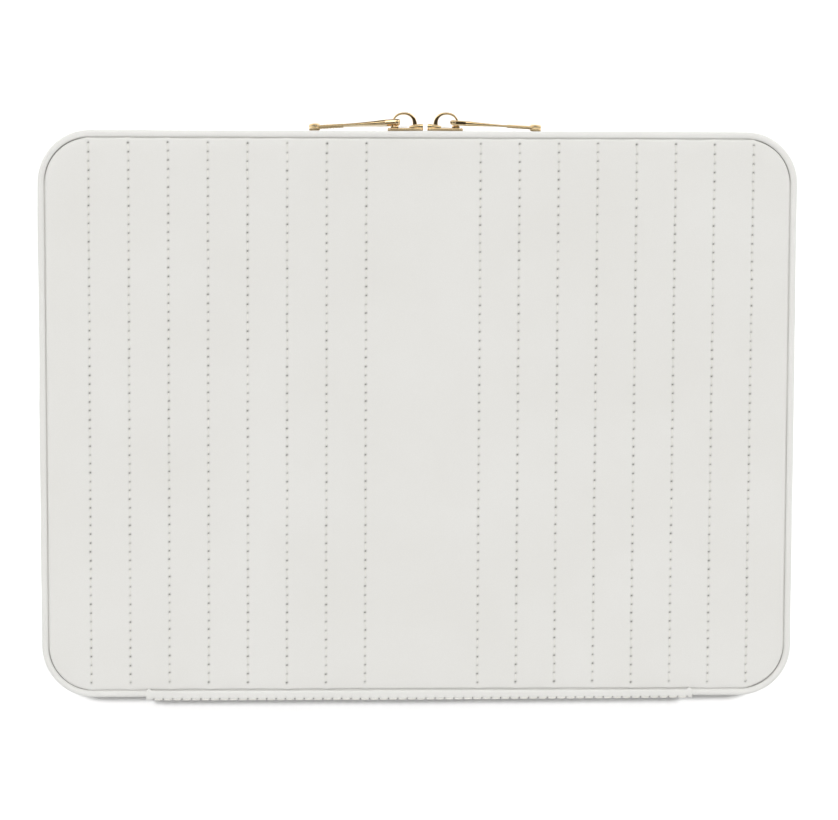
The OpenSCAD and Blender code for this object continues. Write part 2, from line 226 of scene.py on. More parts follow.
def new_group(name, inputs, outputs):
    """A node group. inputs is (name, kind, value) rows and outputs is (name, kind) rows."""
    group = bpy.data.node_groups.new(name, "ShaderNodeTree")
    for label, kind, value in inputs:
        socket = group.interface.new_socket(name=label, in_out="INPUT", socket_type="NodeSocket" + kind)
        socket.default_value = value
    for label, kind in outputs:
        group.interface.new_socket(name=label, in_out="OUTPUT", socket_type="NodeSocket" + kind)
    start = group.nodes.new("NodeGroupInput")
    end = group.nodes.new("NodeGroupOutput")
    return group, start.outputs, end.inputs


def math_node(tree, operation, a, b=0.0, clamp=False):
    return add(tree, "Math", {0: a, 1: b}, operation=operation, use_clamp=clamp).outputs[0]


def mix_colour(tree, amount, a, b, blend="MIX"):
    node = add(tree, "Mix", {0: amount, 6: a, 7: b}, data_type="RGBA", blend_type=blend)
    return node.outputs[2]


# %% [markdown]
# Smooth calf has a fine pebble of about half a millimetre, broken by larger soft creases. The
# group makes the pebble from the edges between Voronoi cells, which are bent by noise so that no
# two pebbles match.

# %% Leather grain
def leather_grain():
    group, given, result = new_group("leather_grain", [
        ("Pebble Size", "Float", 0.0006), ("Depth", "Float", 1.0)],
                                     [("Height", "Float"), ("Pores", "Float")])
    place = add(group, "TexCoord").outputs["Object"]
    scale = math_node(group, "DIVIDE", 1.0, given["Pebble Size"])
    bend = add(group, "TexNoise", {"Vector": place, "Scale": 420.0, "Detail": 2.0})
    shift = add(group, "VectorMath", {0: bend.outputs["Color"], "Scale": 0.0006}, operation="SCALE")
    bent = add(group, "VectorMath", {0: place, 1: shift.outputs[0]}, operation="ADD")
    cells = add(group, "TexVoronoi", {"Vector": bent.outputs[0], "Scale": scale}, feature="DISTANCE_TO_EDGE")
    crease = math_node(group, "MULTIPLY", cells.outputs["Distance"], 3.2, clamp=True)
    swell = add(group, "TexNoise", {"Vector": place, "Scale": 130.0, "Detail": 3.0})
    level = math_node(group, "ADD", crease, math_node(group, "MULTIPLY", swell.outputs[0], 0.9))
    group.links.new(math_node(group, "MULTIPLY", level, given["Depth"]), result["Height"])
    group.links.new(math_node(group, "SUBTRACT", 1.0, crease, clamp=True), result["Pores"])
    return group


GRAIN = leather_grain()

# %% [markdown]
# Nothing dyed is one flat colour. This group drifts a colour slowly between two tones over the
# surface, as uneven dye and handling do.

# %% Drifting colour
def colour_drift():
    group, given, result = new_group(
        "colour_drift", [("Light", "Color", (1, 1, 1, 1)), ("Dark", "Color", (0, 0, 0, 1)),
                         ("Patch Size", "Float", 0.03)],
        [("Color", "Color"), ("Value", "Float")])
    place = add(group, "TexCoord").outputs["Object"]
    scale = math_node(group, "DIVIDE", 1.0, given["Patch Size"])
    cloud = add(group, "TexNoise", {"Vector": place, "Scale": scale, "Detail": 4.0, "Roughness": 0.55})
    spread = add(group, "MapRange", {"Value": cloud.outputs[0], 1: 0.35, 2: 0.65})
    group.links.new(mix_colour(group, spread.outputs[0], given["Light"], given["Dark"]), result["Color"])
    group.links.new(spread.outputs[0], result["Value"])
    return group


DRIFT = colour_drift()

# %% [markdown]
# Handling rubs the ridges of leather and metal. The folds are painted darker, as the shade that
# falls in them. The mesh's own pointiness says where the ridges and folds are.

# %% Wear and fold shade
def wear_and_fold_shade():
    group, given, result = new_group("wear_and_fold_shade", [("Reach", "Float", 0.06)],
                                     [("Ridges", "Float"), ("Folds", "Float")])
    point = add(group, "NewGeometry").outputs["Pointiness"]
    ridge_end = math_node(group, "ADD", 0.5, given["Reach"])
    fold_end = math_node(group, "SUBTRACT", 0.5, given["Reach"])
    ridges = add(group, "MapRange", {"Value": point, 1: 0.505, 2: ridge_end})
    # Folds: where the materials paint shade.
    folds = add(group, "MapRange", {"Value": point, 1: 0.495, 2: fold_end})
    group.links.new(ridges.outputs[0], result["Ridges"])
    group.links.new(folds.outputs[0], result["Folds"])
    return group


WEAR_AND_SHADE = wear_and_fold_shade()

# %% [markdown]
# Woven tape and cloth share one weave: two sets of threads that cross. Waves along two diagonals
# give the over-and-under of a twill, at the size that each material asks for.

# %% Weave
def weave():
    group, given, result = new_group("weave", [("Thread Size", "Float", 0.0004)],
                                     [("Height", "Float"), ("Gaps", "Float")])
    place = add(group, "TexCoord").outputs["Object"]
    split = add(group, "SeparateXYZ", {0: place})
    turn = math_node(group, "DIVIDE", 2 * math.pi, given["Thread Size"])
    along = math_node(group, "ADD", split.outputs[0], split.outputs[1])
    rising = math_node(group, "ADD", along, split.outputs[2])
    warp = math_node(group, "SINE", math_node(group, "MULTIPLY", rising, turn))
    falling = math_node(group, "SUBTRACT", along, split.outputs[2])
    weft = math_node(group, "SINE", math_node(group, "MULTIPLY", falling, turn))
    height = math_node(group, "MAXIMUM", warp, weft)
    group.links.new(math_node(group, "MULTIPLY", math_node(group, "ADD", height, 1.0), 0.5), result["Height"])
    gaps = math_node(group, "SUBTRACT", 0.6, height, clamp=True)
    group.links.new(math_node(group, "MULTIPLY", gaps, 1.0), result["Gaps"])
    return group


WEAVE = weave()

# %% [markdown]
# Brushed suede has short fibres that lie in patches. Fine noise gives the fibres and coarse noise
# gives the patches where a hand has stroked them the other way.

# %% Suede nap
def nap():
    group, given, result = new_group("nap", [("Fibre Size", "Float", 0.0003)],
                                     [("Height", "Float"), ("Strokes", "Float")])
    place = add(group, "TexCoord").outputs["Object"]
    scale = math_node(group, "DIVIDE", 1.0, given["Fibre Size"])
    fibres = add(group, "TexNoise", {"Vector": place, "Scale": scale, "Detail": 3.0, "Roughness": 0.7})
    patches = add(group, "TexNoise", {"Vector": place, "Scale": 38.0, "Detail": 2.0, "Distortion": 1.2})
    strokes = add(group, "MapRange", {"Value": patches.outputs[0], 1: 0.4, 2: 0.62})
    group.links.new(fibres.outputs[0], result["Height"])
    group.links.new(strokes.outputs[0], result["Strokes"])
    return group


NAP = nap()

# %% [markdown]
# Polished plating still has hairline scratches and faint smears. The scratches are noise that is
# squeezed along one direction.

# %% Hairlines
def hairlines():
    group, given, result = new_group("hairlines", [("Line Size", "Float", 0.0002)],
                                     [("Height", "Float"), ("Smears", "Float")])
    place = add(group, "TexCoord").outputs["Object"]
    squeezed = add(group, "VectorMath", {0: place, 1: (0.08, 1.0, 1.0)}, operation="MULTIPLY")
    scale = math_node(group, "DIVIDE", 1.0, given["Line Size"])
    lines = add(group, "TexNoise", {"Vector": squeezed.outputs[0], "Scale": scale, "Detail": 2.0})
    smears = add(group, "TexNoise", {"Vector": place, "Scale": 260.0, "Detail": 3.0})
    group.links.new(lines.outputs[0], result["Height"])
    group.links.new(smears.outputs[0], result["Smears"])
    return group


HAIRLINES = hairlines()

# %% [markdown]
# Each material starts from the same few lines: a new tree, a Principled shader, and the groups it
# needs. The shader stays in the material, and even values are set on its own sockets.

# %% Material helpers
def new_material(name, **plain):
    material = bpy.data.materials.new(name)
    material.use_nodes = True
    tree = material.node_tree
    shader = tree.nodes["Principled BSDF"]
    for key, value in plain.items():
        shader.inputs[key.replace("_", " ")].default_value = value
    return material, tree, shader


def use(tree, group, **values):
    node = tree.nodes.new("ShaderNodeGroup")
    node.node_tree = group
    for key, value in values.items():
        node.inputs[key.replace("_", " ")].default_value = value
    return node.outputs


def bump(tree, shader, height, strength, distance):
    node = add(tree, "Bump", {"Height": height, "Strength": strength, "Distance": distance})
    tree.links.new(node.outputs[0], shader.inputs["Normal"])


def vary(tree, socket, value, low, high):
    """Spreads a 0 to 1 value between low and high into a socket of the shader."""
    spread = add(tree, "MapRange", {"Value": value, 3: low, 4: high})
    tree.links.new(spread.outputs[0], socket)


# %% [markdown]
# Ivory leather is a satin calf. Its colour drifts a little, its pores are slightly darker, its
# folds are painted slightly darker as the shade in them, and its ridges are rubbed smoother.
# Needle holes and the groove behind the rim carry a mask on the mesh, and the leather is painted
# nearly black there, as the shade inside them.

# %% Ivory leather
def ivory_leather(name, light, dark, pebble, relief):
    material, tree, shader = new_material(
        name, Specular_IOR_Level=0.42, Sheen_Weight=0.05, Sheen_Roughness=0.5)
    drift = use(tree, DRIFT, Light=(*light, 1), Dark=(*dark, 1), Patch_Size=0.045)
    grain = use(tree, GRAIN, Pebble_Size=pebble)
    wear_and_shade = use(tree, WEAR_AND_SHADE, Reach=0.08)
    painted_shade = add(tree, "Attribute", attribute_name="painted_shade").outputs["Fac"]
    shade = (light[0] * 0.80, light[1] * 0.78, light[2] * 0.74, 1)
    pores = math_node(tree, "MULTIPLY", grain["Pores"], 0.10)
    colour = mix_colour(tree, pores, drift["Color"], shade)
    # The folds are painted darker, as the shade in them.
    folds = math_node(tree, "MULTIPLY", wear_and_shade["Folds"], 0.35)
    colour = mix_colour(tree, folds, colour, shade)
    # Needle holes and the groove are painted nearly black, as their shade.
    colour = mix_colour(tree, painted_shade, colour, (0.05, 0.047, 0.042, 1))
    tree.links.new(colour, shader.inputs["Base Color"])
    vary(tree, shader.inputs["Roughness"], wear_and_shade["Ridges"], 0.47, 0.36)
    bump(tree, shader, grain["Height"], relief, 0.00006)
    return material


COVER_LEATHER = ivory_leather("cover_leather", (0.674, 0.671, 0.652), (0.658, 0.653, 0.631), 0.0007, 0.10)
WALL_LEATHER = ivory_leather("wall_leather", (0.690, 0.688, 0.670), (0.665, 0.662, 0.642), 0.0008, 0.16)

# %% [markdown]
# Bonded thread is a touch whiter than the leather, and its twist shows as fine slanted ridges.

# %% Thread
def thread_material():
    material, tree, shader = new_material("ivory_thread", Roughness=0.55, Sheen_Weight=0.2)
    drift = use(tree, DRIFT, Light=(0.71, 0.70, 0.66, 1), Dark=(0.64, 0.63, 0.59, 1), Patch_Size=0.004)
    tree.links.new(drift["Color"], shader.inputs["Base Color"])
    place = add(tree, "TexCoord").outputs["Object"]
    twist = add(tree, "TexWave", {"Vector": place, "Scale": 520.0, "Distortion": 1.0},
                bands_direction="DIAGONAL")
    bump(tree, shader, twist.outputs["Fac"], 0.4, 0.00008)
    return material


THREAD = thread_material()

# %% [markdown]
# The zip's tape is a woven herringbone, matt, dyed to match. The coil is nylon monofilament, a
# little glossy and slightly see-through, so it gets a little subsurface light.

# %% Zip tape and coil
def tape_material():
    material, tree, shader = new_material("zip_tape", Roughness=0.85, Sheen_Weight=0.25)
    cloth = use(tree, WEAVE, Thread_Size=0.0009)
    drift = use(tree, DRIFT, Light=(0.70, 0.69, 0.65, 1), Dark=(0.64, 0.63, 0.585, 1), Patch_Size=0.012)
    # The gaps between the threads are painted darker, as the shade in them.
    gaps = math_node(tree, "MULTIPLY", cloth["Gaps"], 0.35)
    colour = mix_colour(tree, gaps, drift["Color"], (0.46, 0.45, 0.41, 1))
    tree.links.new(colour, shader.inputs["Base Color"])
    bump(tree, shader, cloth["Height"], 0.6, 0.00012)
    return material


def coil_material():
    material, tree, shader = new_material("zip_coil", Specular_IOR_Level=0.5, Subsurface_Weight=0.08,
                                          Subsurface_Radius=(0.0008, 0.0007, 0.0006))
    drift = use(tree, DRIFT, Light=(0.73, 0.72, 0.68, 1), Dark=(0.66, 0.65, 0.60, 1), Patch_Size=0.006)
    wear_and_shade = use(tree, WEAR_AND_SHADE, Reach=0.12)
    # The folds between the coil's turns are painted darker, as the shade in them.
    shade_in_folds = math_node(tree, "MULTIPLY", wear_and_shade["Folds"], 0.5)
    colour = mix_colour(tree, shade_in_folds, drift["Color"], (0.40, 0.38, 0.34, 1))
    tree.links.new(colour, shader.inputs["Base Color"])
    vary(tree, shader.inputs["Roughness"], drift["Value"], 0.30, 0.42)
    return material


TAPE = tape_material()
COIL = coil_material()

# %% [markdown]
# The hardware is brass with a polished light gold plating. Its folds are painted a dark brown,
# as the shade in them, so the ridges are the brightest.

# %% Polished gold
def gold_material(name, colour, dull, relief):
    material, tree, shader = new_material(name, Metallic=1.0)
    lines = use(tree, HAIRLINES, Line_Size=0.00018)
    wear_and_shade = use(tree, WEAR_AND_SHADE, Reach=0.10)
    smear = mix_colour(tree, math_node(tree, "MULTIPLY", lines["Smears"], 0.35), (*colour, 1), (*dull, 1))
    # The folds are painted dark brown, as shade.
    folds = math_node(tree, "MULTIPLY", wear_and_shade["Folds"], 0.75)
    tree.links.new(mix_colour(tree, folds, smear, (0.20, 0.12, 0.05, 1)), shader.inputs["Base Color"])
    vary(tree, shader.inputs["Roughness"], lines["Smears"], 0.04, 0.12)
    bump(tree, shader, lines["Height"], relief, 0.00001)
    return material


GOLD = gold_material("polished_gold", (0.93, 0.74, 0.45), (0.86, 0.58, 0.28), 0.10)

# %% [markdown]
# The lining is a brushed micro-suede over thin foam. The pocket is the same cloth without foam.

# %% Suede
def suede_material(name, light, dark, fibre, relief):
    material, tree, shader = new_material(name, Roughness=0.95, Specular_IOR_Level=0.2, Sheen_Weight=0.55,
                                          Sheen_Roughness=0.45, Sheen_Tint=(0.9, 0.82, 0.72, 1))
    fibres = use(tree, NAP, Fibre_Size=fibre)
    wear_and_shade = use(tree, WEAR_AND_SHADE, Reach=0.09)
    stroked = mix_colour(tree, fibres["Strokes"], (*light, 1), (*dark, 1))
    speckle = add(tree, "MapRange", {"Value": fibres["Height"], 1: 0.35, 2: 0.65, 3: 0.0, 4: 0.25})
    colour = mix_colour(tree, speckle.outputs[0], stroked, (dark[0] * 0.7, dark[1] * 0.7, dark[2] * 0.7, 1))
    rubbed = math_node(tree, "MULTIPLY", wear_and_shade["Ridges"], 0.25)
    colour = mix_colour(tree, rubbed, colour, (light[0] * 1.15, light[1] * 1.15, light[2] * 1.12, 1))
    tree.links.new(colour, shader.inputs["Base Color"])
    bump(tree, shader, fibres["Height"], relief, 0.00015)
    return material


LINING = suede_material("suede_lining", (0.46, 0.36, 0.26), (0.40, 0.31, 0.22), 0.00030, 0.35)
PADDING = suede_material("suede_padding", (0.50, 0.395, 0.29), (0.43, 0.335, 0.24), 0.00028, 0.35)
POCKET = suede_material("pocket_cloth", (0.53, 0.425, 0.32), (0.46, 0.36, 0.265), 0.00026, 0.30)

# %% [markdown]
# The trays' board is grey-brown pressed fibre. It hardly shows, but it has its own speckle.

# %% Board and table
def board_material():
    material, tree, shader = new_material("tray_board", Roughness=0.9)
    fibres = use(tree, NAP, Fibre_Size=0.0012)
    colour = mix_colour(tree, fibres["Height"], (0.33, 0.26, 0.18, 1), (0.22, 0.17, 0.12, 1))
    tree.links.new(colour, shader.inputs["Base Color"])
    bump(tree, shader, fibres["Height"], 0.3, 0.0002)
    return material


BOARD = board_material()
table_material, _, table_shader = new_material("white_table", Roughness=0.9)
table_shader.inputs["Base Color"].default_value = (0.93, 0.93, 0.93, 1)
table_mesh.materials.append(table_material)

# %% [markdown]
# ## Builders
# The pieces are built from points in millimetres, in the frame's own coordinates. A piece for the
# lid is made as if for the base and then turned over, as both trays are cut to one pattern.

# %% Making a piece
def as_mm(node):
    low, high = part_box(node)
    return np.array(low) / MM, np.array(high) / MM


def turned_over(points):
    flipped = np.array(points, float)
    flipped[..., 2] = TOP / MM - flipped[..., 2]
    return flipped


def for_side(side, points):
    return turned_over(points) if side == "lid" else points


def make_piece(name, points, faces, material, body=None, stands_for=(), sharp=None):
    """A smooth mesh piece that rides on a body and stands for the CAD nodes named."""
    mesh = bpy.data.meshes.new(name)
    mesh.from_pydata((np.asarray(points, float).reshape(-1, 3) * MM).tolist(), [], [tuple(f) for f in faces])
    tidy = bmesh.new()
    tidy.from_mesh(mesh)
    bmesh.ops.recalc_face_normals(tidy, faces=tidy.faces)
    tidy.to_mesh(mesh)
    tidy.free()
    mesh.materials.append(material)
    mesh.shade_smooth()
    if sharp:
        mesh.set_sharp_from_angle(angle=math.radians(sharp))
    piece = link(bpy.data.objects.new(name, mesh))
    if stands_for:
        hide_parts(*stands_for)
    if body:
        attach(piece, body)
    return piece


def grid_faces(rows, columns, wrap_rows=False, wrap_columns=False, start=0):
    """Quads of a grid of points stored row by row."""
    i = np.arange(rows if wrap_rows else rows - 1)
    j = np.arange(columns if wrap_columns else columns - 1)
    i, j = np.meshgrid(i, j, indexing="ij")
    ni, nj = (i + 1) % rows, (j + 1) % columns
    quads = np.stack([i * columns + j, i * columns + nj, ni * columns + nj, ni * columns + j], -1)
    return (quads.reshape(-1, 4) + start).tolist()


def tube_faces(rows, columns):
    """Faces of a closed tube: quads round its sides and a cap at each end."""
    return grid_faces(rows, columns, wrap_columns=True) + [
        tuple(range(columns)), tuple(range((rows - 1) * columns, rows * columns))]


def border(shape):
    """The numbers of a grid's points in order round its border."""
    index = np.arange(shape[0] * shape[1]).reshape(shape)
    return np.concatenate([index[:, 0], index[-1, 1:], index[::-1, -1][1:], index[0, ::-1][1:-1]])


def skirted_faces(shape):
    """Faces of a grid, of a skirt down from its border to a second ring, and of that ring."""
    loop, count = border(shape), shape[0] * shape[1]
    size = len(loop)
    skirt = [(int(loop[i]), int(loop[(i + 1) % size]), count + (i + 1) % size, count + i)
             for i in range(size)]
    return grid_faces(*shape) + skirt + [tuple(range(count, count + size))]


def set_mask(piece, values):
    """Gives a leather piece the mask that paints shade into its needle holes and its groove."""
    mask = piece.data.attributes.new("painted_shade", "FLOAT", "POINT")
    mask.data.foreach_set("value", np.clip(values, 0, 1).ravel().astype(np.float32))


def joined(*meshes):
    """Several (points, faces) as one."""
    points, faces, count = [], [], 0
    for some_points, some_faces in meshes:
        flat = np.asarray(some_points, float).reshape(-1, 3)
        points.append(flat)
        faces += [tuple(int(v) + count for v in face) for face in some_faces]
        count += len(flat)
    return np.concatenate(points), faces


def smooth_noise(values, step, seed, height=1.0):
    """A gentle random wave over values, with about one swing in each step."""
    source = np.random.default_rng(seed)
    knots = np.arange(values.min() - 2 * step, values.max() + 3 * step, step)
    levels = source.uniform(-1, 1, len(knots))
    place = (values - knots[0]) / step
    i = np.clip(place.astype(int), 0, len(knots) - 2)
    t = place - i
    t = t * t * (3 - 2 * t)
    return height * (levels[i] * (1 - t) + levels[i + 1] * t)


# %% [markdown]
# Everything round the case follows one rounded rectangle. Its length is walked from the middle of
# the spine side, over -X, the zip's front and +X. A section of wall, tape or lining is swept along
# it, with each of its points given as an inset from the outline and a height.

# %% Walking round the case
CASE_X, CASE_Y, ROUND = HALF_X / MM, HALF_Y / MM, CORNER / MM
LEGS = [
    (CASE_X - ROUND, 90, False, (0, CASE_Y)),
    (math.pi * ROUND / 2, 90, True, (ROUND - CASE_X, CASE_Y - ROUND)),
    (2 * (CASE_Y - ROUND), 180, False, (-CASE_X, CASE_Y - ROUND)),
    (math.pi * ROUND / 2, 180, True, (ROUND - CASE_X, ROUND - CASE_Y)),
    (2 * (CASE_X - ROUND), 270, False, (ROUND - CASE_X, -CASE_Y)),
    (math.pi * ROUND / 2, 270, True, (CASE_X - ROUND, ROUND - CASE_Y)),
    (2 * (CASE_Y - ROUND), 0, False, (CASE_X, ROUND - CASE_Y)),
    (math.pi * ROUND / 2, 0, True, (CASE_X - ROUND, CASE_Y - ROUND)),
    (CASE_X - ROUND, 90, False, (CASE_X - ROUND, CASE_Y)),
]
ALL_ROUND = sum(leg[0] for leg in LEGS)


def walk(along):
    """Points on the outline and the outward direction at each, in millimetres."""
    along = np.asarray(along, float) % ALL_ROUND
    points, outward = np.zeros((len(along), 2)), np.zeros((len(along), 2))
    start = 0.0
    for length, facing, turning, place in LEGS:
        here = (along >= start) & (along <= start + length + 1e-6)
        t = along[here] - start
        angle = math.radians(facing) + (t / ROUND if turning else 0 * t)
        normal = np.stack([np.cos(angle), np.sin(angle)], -1)
        if turning:
            points[here] = np.array(place) + ROUND * normal
        else:
            points[here] = np.array(place) + t[:, None] * np.stack([-np.sin(angle), np.cos(angle)], -1)
        outward[here] = normal
        start += length
    return points, outward


def swept(section, along, closed=True, shift=None):
    """A closed section of (inset, height) rows swept along the outline. shift is added to the insets."""
    section = np.asarray(section, float)
    base, outward = walk(along)
    inset = section[None, :, 0] + (0 if shift is None else shift)
    flat = base[:, None] - inset[..., None] * outward[:, None]
    height = np.broadcast_to(section[None, :, 1], flat.shape[:2])
    points = np.concatenate([flat, height[..., None]], -1)
    rows, columns = points.shape[:2]
    if closed:
        return points, grid_faces(rows, columns, wrap_rows=True, wrap_columns=True)
    return points, tube_faces(rows, columns)


def stitches(holes, outward, radius=0.24, rise=0.20):
    """Short threads that come up out of one hole and go down into the next."""
    holes, outward = np.asarray(holes, float), np.asarray(outward, float)
    steps = np.array([0.07, 0.13, 0.27, 0.5, 0.73, 0.87, 0.93])
    lift = (rise * np.array([0.0, 0.5, 0.9, 1.0, 0.9, 0.5, 0.0])
            - 0.3 * np.array([1, 0.35, 0.05, 0, 0.05, 0.35, 1]))
    thin = radius * np.array([0.7, 0.9, 1.0, 1.05, 1.0, 0.9, 0.7])
    run = holes[1:] - holes[:-1]
    normal = (outward[1:] + outward[:-1]) / 2
    side = np.cross(run, normal)
    side /= np.linalg.norm(side, axis=1)[:, None]
    centre = holes[:-1, None] + steps[None, :, None] * run[:, None] + lift[None, :, None] * normal[:, None]
    turn = np.arange(6) * math.pi / 3
    ring = np.cos(turn)[None, :, None] * side[:, None] + np.sin(turn)[None, :, None] * normal[:, None]
    points = centre[:, :, None] + thin[None, :, None, None] * ring[:, None]
    faces = []
    for i in range(len(run)):
        first = i * 42
        faces += grid_faces(7, 6, wrap_columns=True, start=first)
        faces += [tuple(range(first, first + 6)), tuple(range(first + 36, first + 42))]
    return points.reshape(-1, 3), faces


# %% [markdown]
# ## Quilted covers
# Leather lies over thin foam on a board and is stitched through in straight rows, with a plain
# band left down the middle. The stitching pulls the leather down only a little, so the panel
# stays nearly flat with a faint swell between the rows. Its edge rolls over into the groove.
#
# A simulated cushion would blur the rows of needle holes, so the surface is a fine grid whose
# height is worked out. The grid's lines are close together where there are needle holes, and a
# mask on it paints each hole nearly black, as the shade inside it.

# %% The quilting pattern
ROWS_EACH_SIDE, STITCH = 8, 3.4
row_places = np.concatenate([np.linspace(-127.7, -23.3, ROWS_EACH_SIDE),
                             np.linspace(20.2, 125.7, ROWS_EACH_SIDE)])
panel_x, panel_y, panel_round = PANEL_X / MM + 0.15, PANEL_Y / MM + 0.15, (CORNER - PANEL_IN) / MM
SKEW, ON_TRAY = 0.0022, 2.35  # how far the rows lean, and the height at which the cover rests on its tray
holes_each = 62
hole_y = -104.2 + np.arange(holes_each) * STITCH


def filled(places, gap):
    """The places, with evenly spaced ones added wherever two are more than gap apart."""
    places = np.unique(np.round(places, 4))
    kept = [places[0]]
    for place in places[1:]:
        if place - kept[-1] < 0.03:
            continue
        pieces = max(1, math.ceil((place - kept[-1]) / gap - 1e-6))
        kept += list(np.linspace(kept[-1], place, pieces + 1)[1:])
    return np.array(kept)


near_edge = np.array([0, 0.03, 0.12, 0.27, 0.48, 0.75, 1.2, 1.9, 2.9])
corner_turn = panel_x - panel_round * (1 - np.sin(np.radians(np.arange(0, 90, 6))))
columns = np.concatenate([(row_places[:, None] + np.array([-1.3, -0.8, -0.4, 0, 0.4, 0.8, 1.3])).ravel(),
                          panel_x - near_edge, near_edge - panel_x, corner_turn, -corner_turn])
columns = filled(columns, 4.4)
rows = np.concatenate([(hole_y[:, None] + np.array([-1.0, -0.4, 0, 0.4, 1.0])).ravel(),
                       panel_y - near_edge, near_edge - panel_y])
rows = filled(rows[np.abs(rows) <= panel_y], 0.85)
print(len(row_places), "rows of", holes_each, "needle holes on a grid of", len(columns), "by", len(rows))

# %% [markdown]
# The cover is one grid. Its height is the crown of the padding, less the pull of each row of
# stitches, and it rolls down at the border into the groove behind the rim. Every needle hole is
# pressed into it, and the threads lie in the dents between the holes.

# %% The quilted surface
def edge_of_panel(x):
    """Half the panel's depth at x, with its rounded corners."""
    past = np.clip(np.abs(x) - (panel_x - panel_round), 0, panel_round)
    return panel_y - panel_round + np.sqrt(np.clip(panel_round ** 2 - past ** 2, 0, None))


def from_edge(x, y):
    """How far a point is inside the panel's outline."""
    past_x = np.abs(x) - (panel_x - panel_round)
    past_y = np.abs(y) - (panel_y - panel_round)
    outside = np.hypot(np.clip(past_x, 0, None), np.clip(past_y, 0, None))
    return np.clip(panel_round - outside - np.minimum(np.maximum(past_x, past_y), 0), 0, None)


def quilted_surface(seed):
    """Points, faces, mask of painted hole shade and the stitches' holes of one cover, outer face at height 0.
    """
    source = np.random.default_rng(seed)
    lean = source.normal(0, 0.05, (len(row_places), holes_each))
    slip = (source.normal(0, 0.08, (len(row_places), holes_each))
            + source.uniform(-0.5, 0.5, (len(row_places), 1)))
    # How dark the painted shade of each needle hole is, one by one.
    dark = source.uniform(0.55, 1.25, (len(row_places), holes_each))
    share = rows / panel_y
    x = np.broadcast_to(columns[:, None], (len(columns), len(rows))).copy()
    y = share[None, :] * edge_of_panel(columns)[:, None]
    fall = from_edge(x, y)
    depth = 0.45 * np.clip(1 - fall / 4.5, 0, 1) ** 2
    depth += 0.75 - np.sqrt(np.clip(0.75 ** 2 - np.clip(0.75 - fall, 0, 0.75) ** 2, 0, None))
    depth += 0.05 * (1 + smooth_noise(x + 0.37 * y, 16, seed)) * np.clip(fall / 6, 0, 1)
    painted_shade = np.zeros_like(x)
    holes = []
    nearest = np.abs(rows[:, None] - hole_y[None, :]).argmin(1)
    for r, place in enumerate(row_places):
        close = np.abs(columns - place) < 6
        away = x[close] - place
        within = np.clip((edge_of_panel(place) - 0.9 - np.abs(y[close])) / 0.8, 0, 1)
        depth[close] += 0.13 * np.exp(-(away / 1.2) ** 2) * within
        spot = np.exp(-(np.hypot(away, rows[None, :] - hole_y[nearest][None, :]) / 0.38) ** 2)
        depth[close] += 0.32 * spot * within
        # Each hole is painted dark, as the shade inside it.
        painted_shade[close] += spot * dark[r, nearest][None, :] * (within > 0.3)
        moved = np.exp(-(away / 1.3) ** 2) * np.clip((panel_y - np.abs(y[close])) / 4, 0, 1)
        x[close] += np.exp(-(away / 0.9) ** 2) * lean[r, nearest][None, :]
        y[close] += moved * slip[r, nearest][None, :]
        calm = np.clip((panel_y - np.abs(hole_y)) / 4, 0, 1)
        holes.append(np.stack([place + lean[r], hole_y + slip[r] * calm, np.full(holes_each, 0.22)], -1))
    x += SKEW * y * np.clip((panel_x - np.abs(x)) / 12, 0, 1)
    for row in holes:
        row[:, 0] += SKEW * row[:, 1]
    pull = sum(np.exp(-((x - place) / 1.3) ** 2) for place in row_places)
    y += np.sign(y) * 0.22 * pull * np.clip(1 - fall / 3, 0, 1)
    wander = smooth_noise(x, 9, seed + 1, 0.10) * np.clip(1 - fall / 3, 0, 1)
    y += wander * np.sign(y) * (np.abs(y) > panel_y - 4)
    top = np.stack([x, y, depth], -1)
    under = top.reshape(-1, 3)[border(x.shape)]
    under[:, 2] = ON_TRAY
    points = np.concatenate([top.reshape(-1, 3), under])
    return points, skirted_faces(x.shape), np.concatenate([painted_shade.ravel(), np.zeros(len(under))]), holes


def make_cover(side, seed):
    points, faces, painted_shade, holes = quilted_surface(seed)
    threads = []
    for row in holes:
        threads.append(stitches(row, np.tile([0, 0, -1.0], (len(row), 1)), radius=0.17, rise=0.05))
    thread_points, thread_faces = joined(*threads)
    points, thread_points = for_side(side, points), for_side(side, thread_points)
    cover = make_piece(side + "_cover", points, faces, COVER_LEATHER,
                       stands_for=[side + "_panel"])
    set_mask(cover, painted_shade)
    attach(cover, side)
    make_piece(side + "_cover_stitching", thread_points, thread_faces, THREAD, side)
    return cover


for side, seed in (("base", 21), ("lid", 22)):
    cover = make_cover(side, seed)
print("covers made, each with", len(cover.data.polygons), "faces")

# %% [markdown]
# ## Walls and rims
# One long strip of leather makes the wall and is turned over the panel's edge as a raised rim.
# At the zip its edge is turned in and stitched down to the tape in one row. The wall bellies a
# little where the leather is only glued to the board.

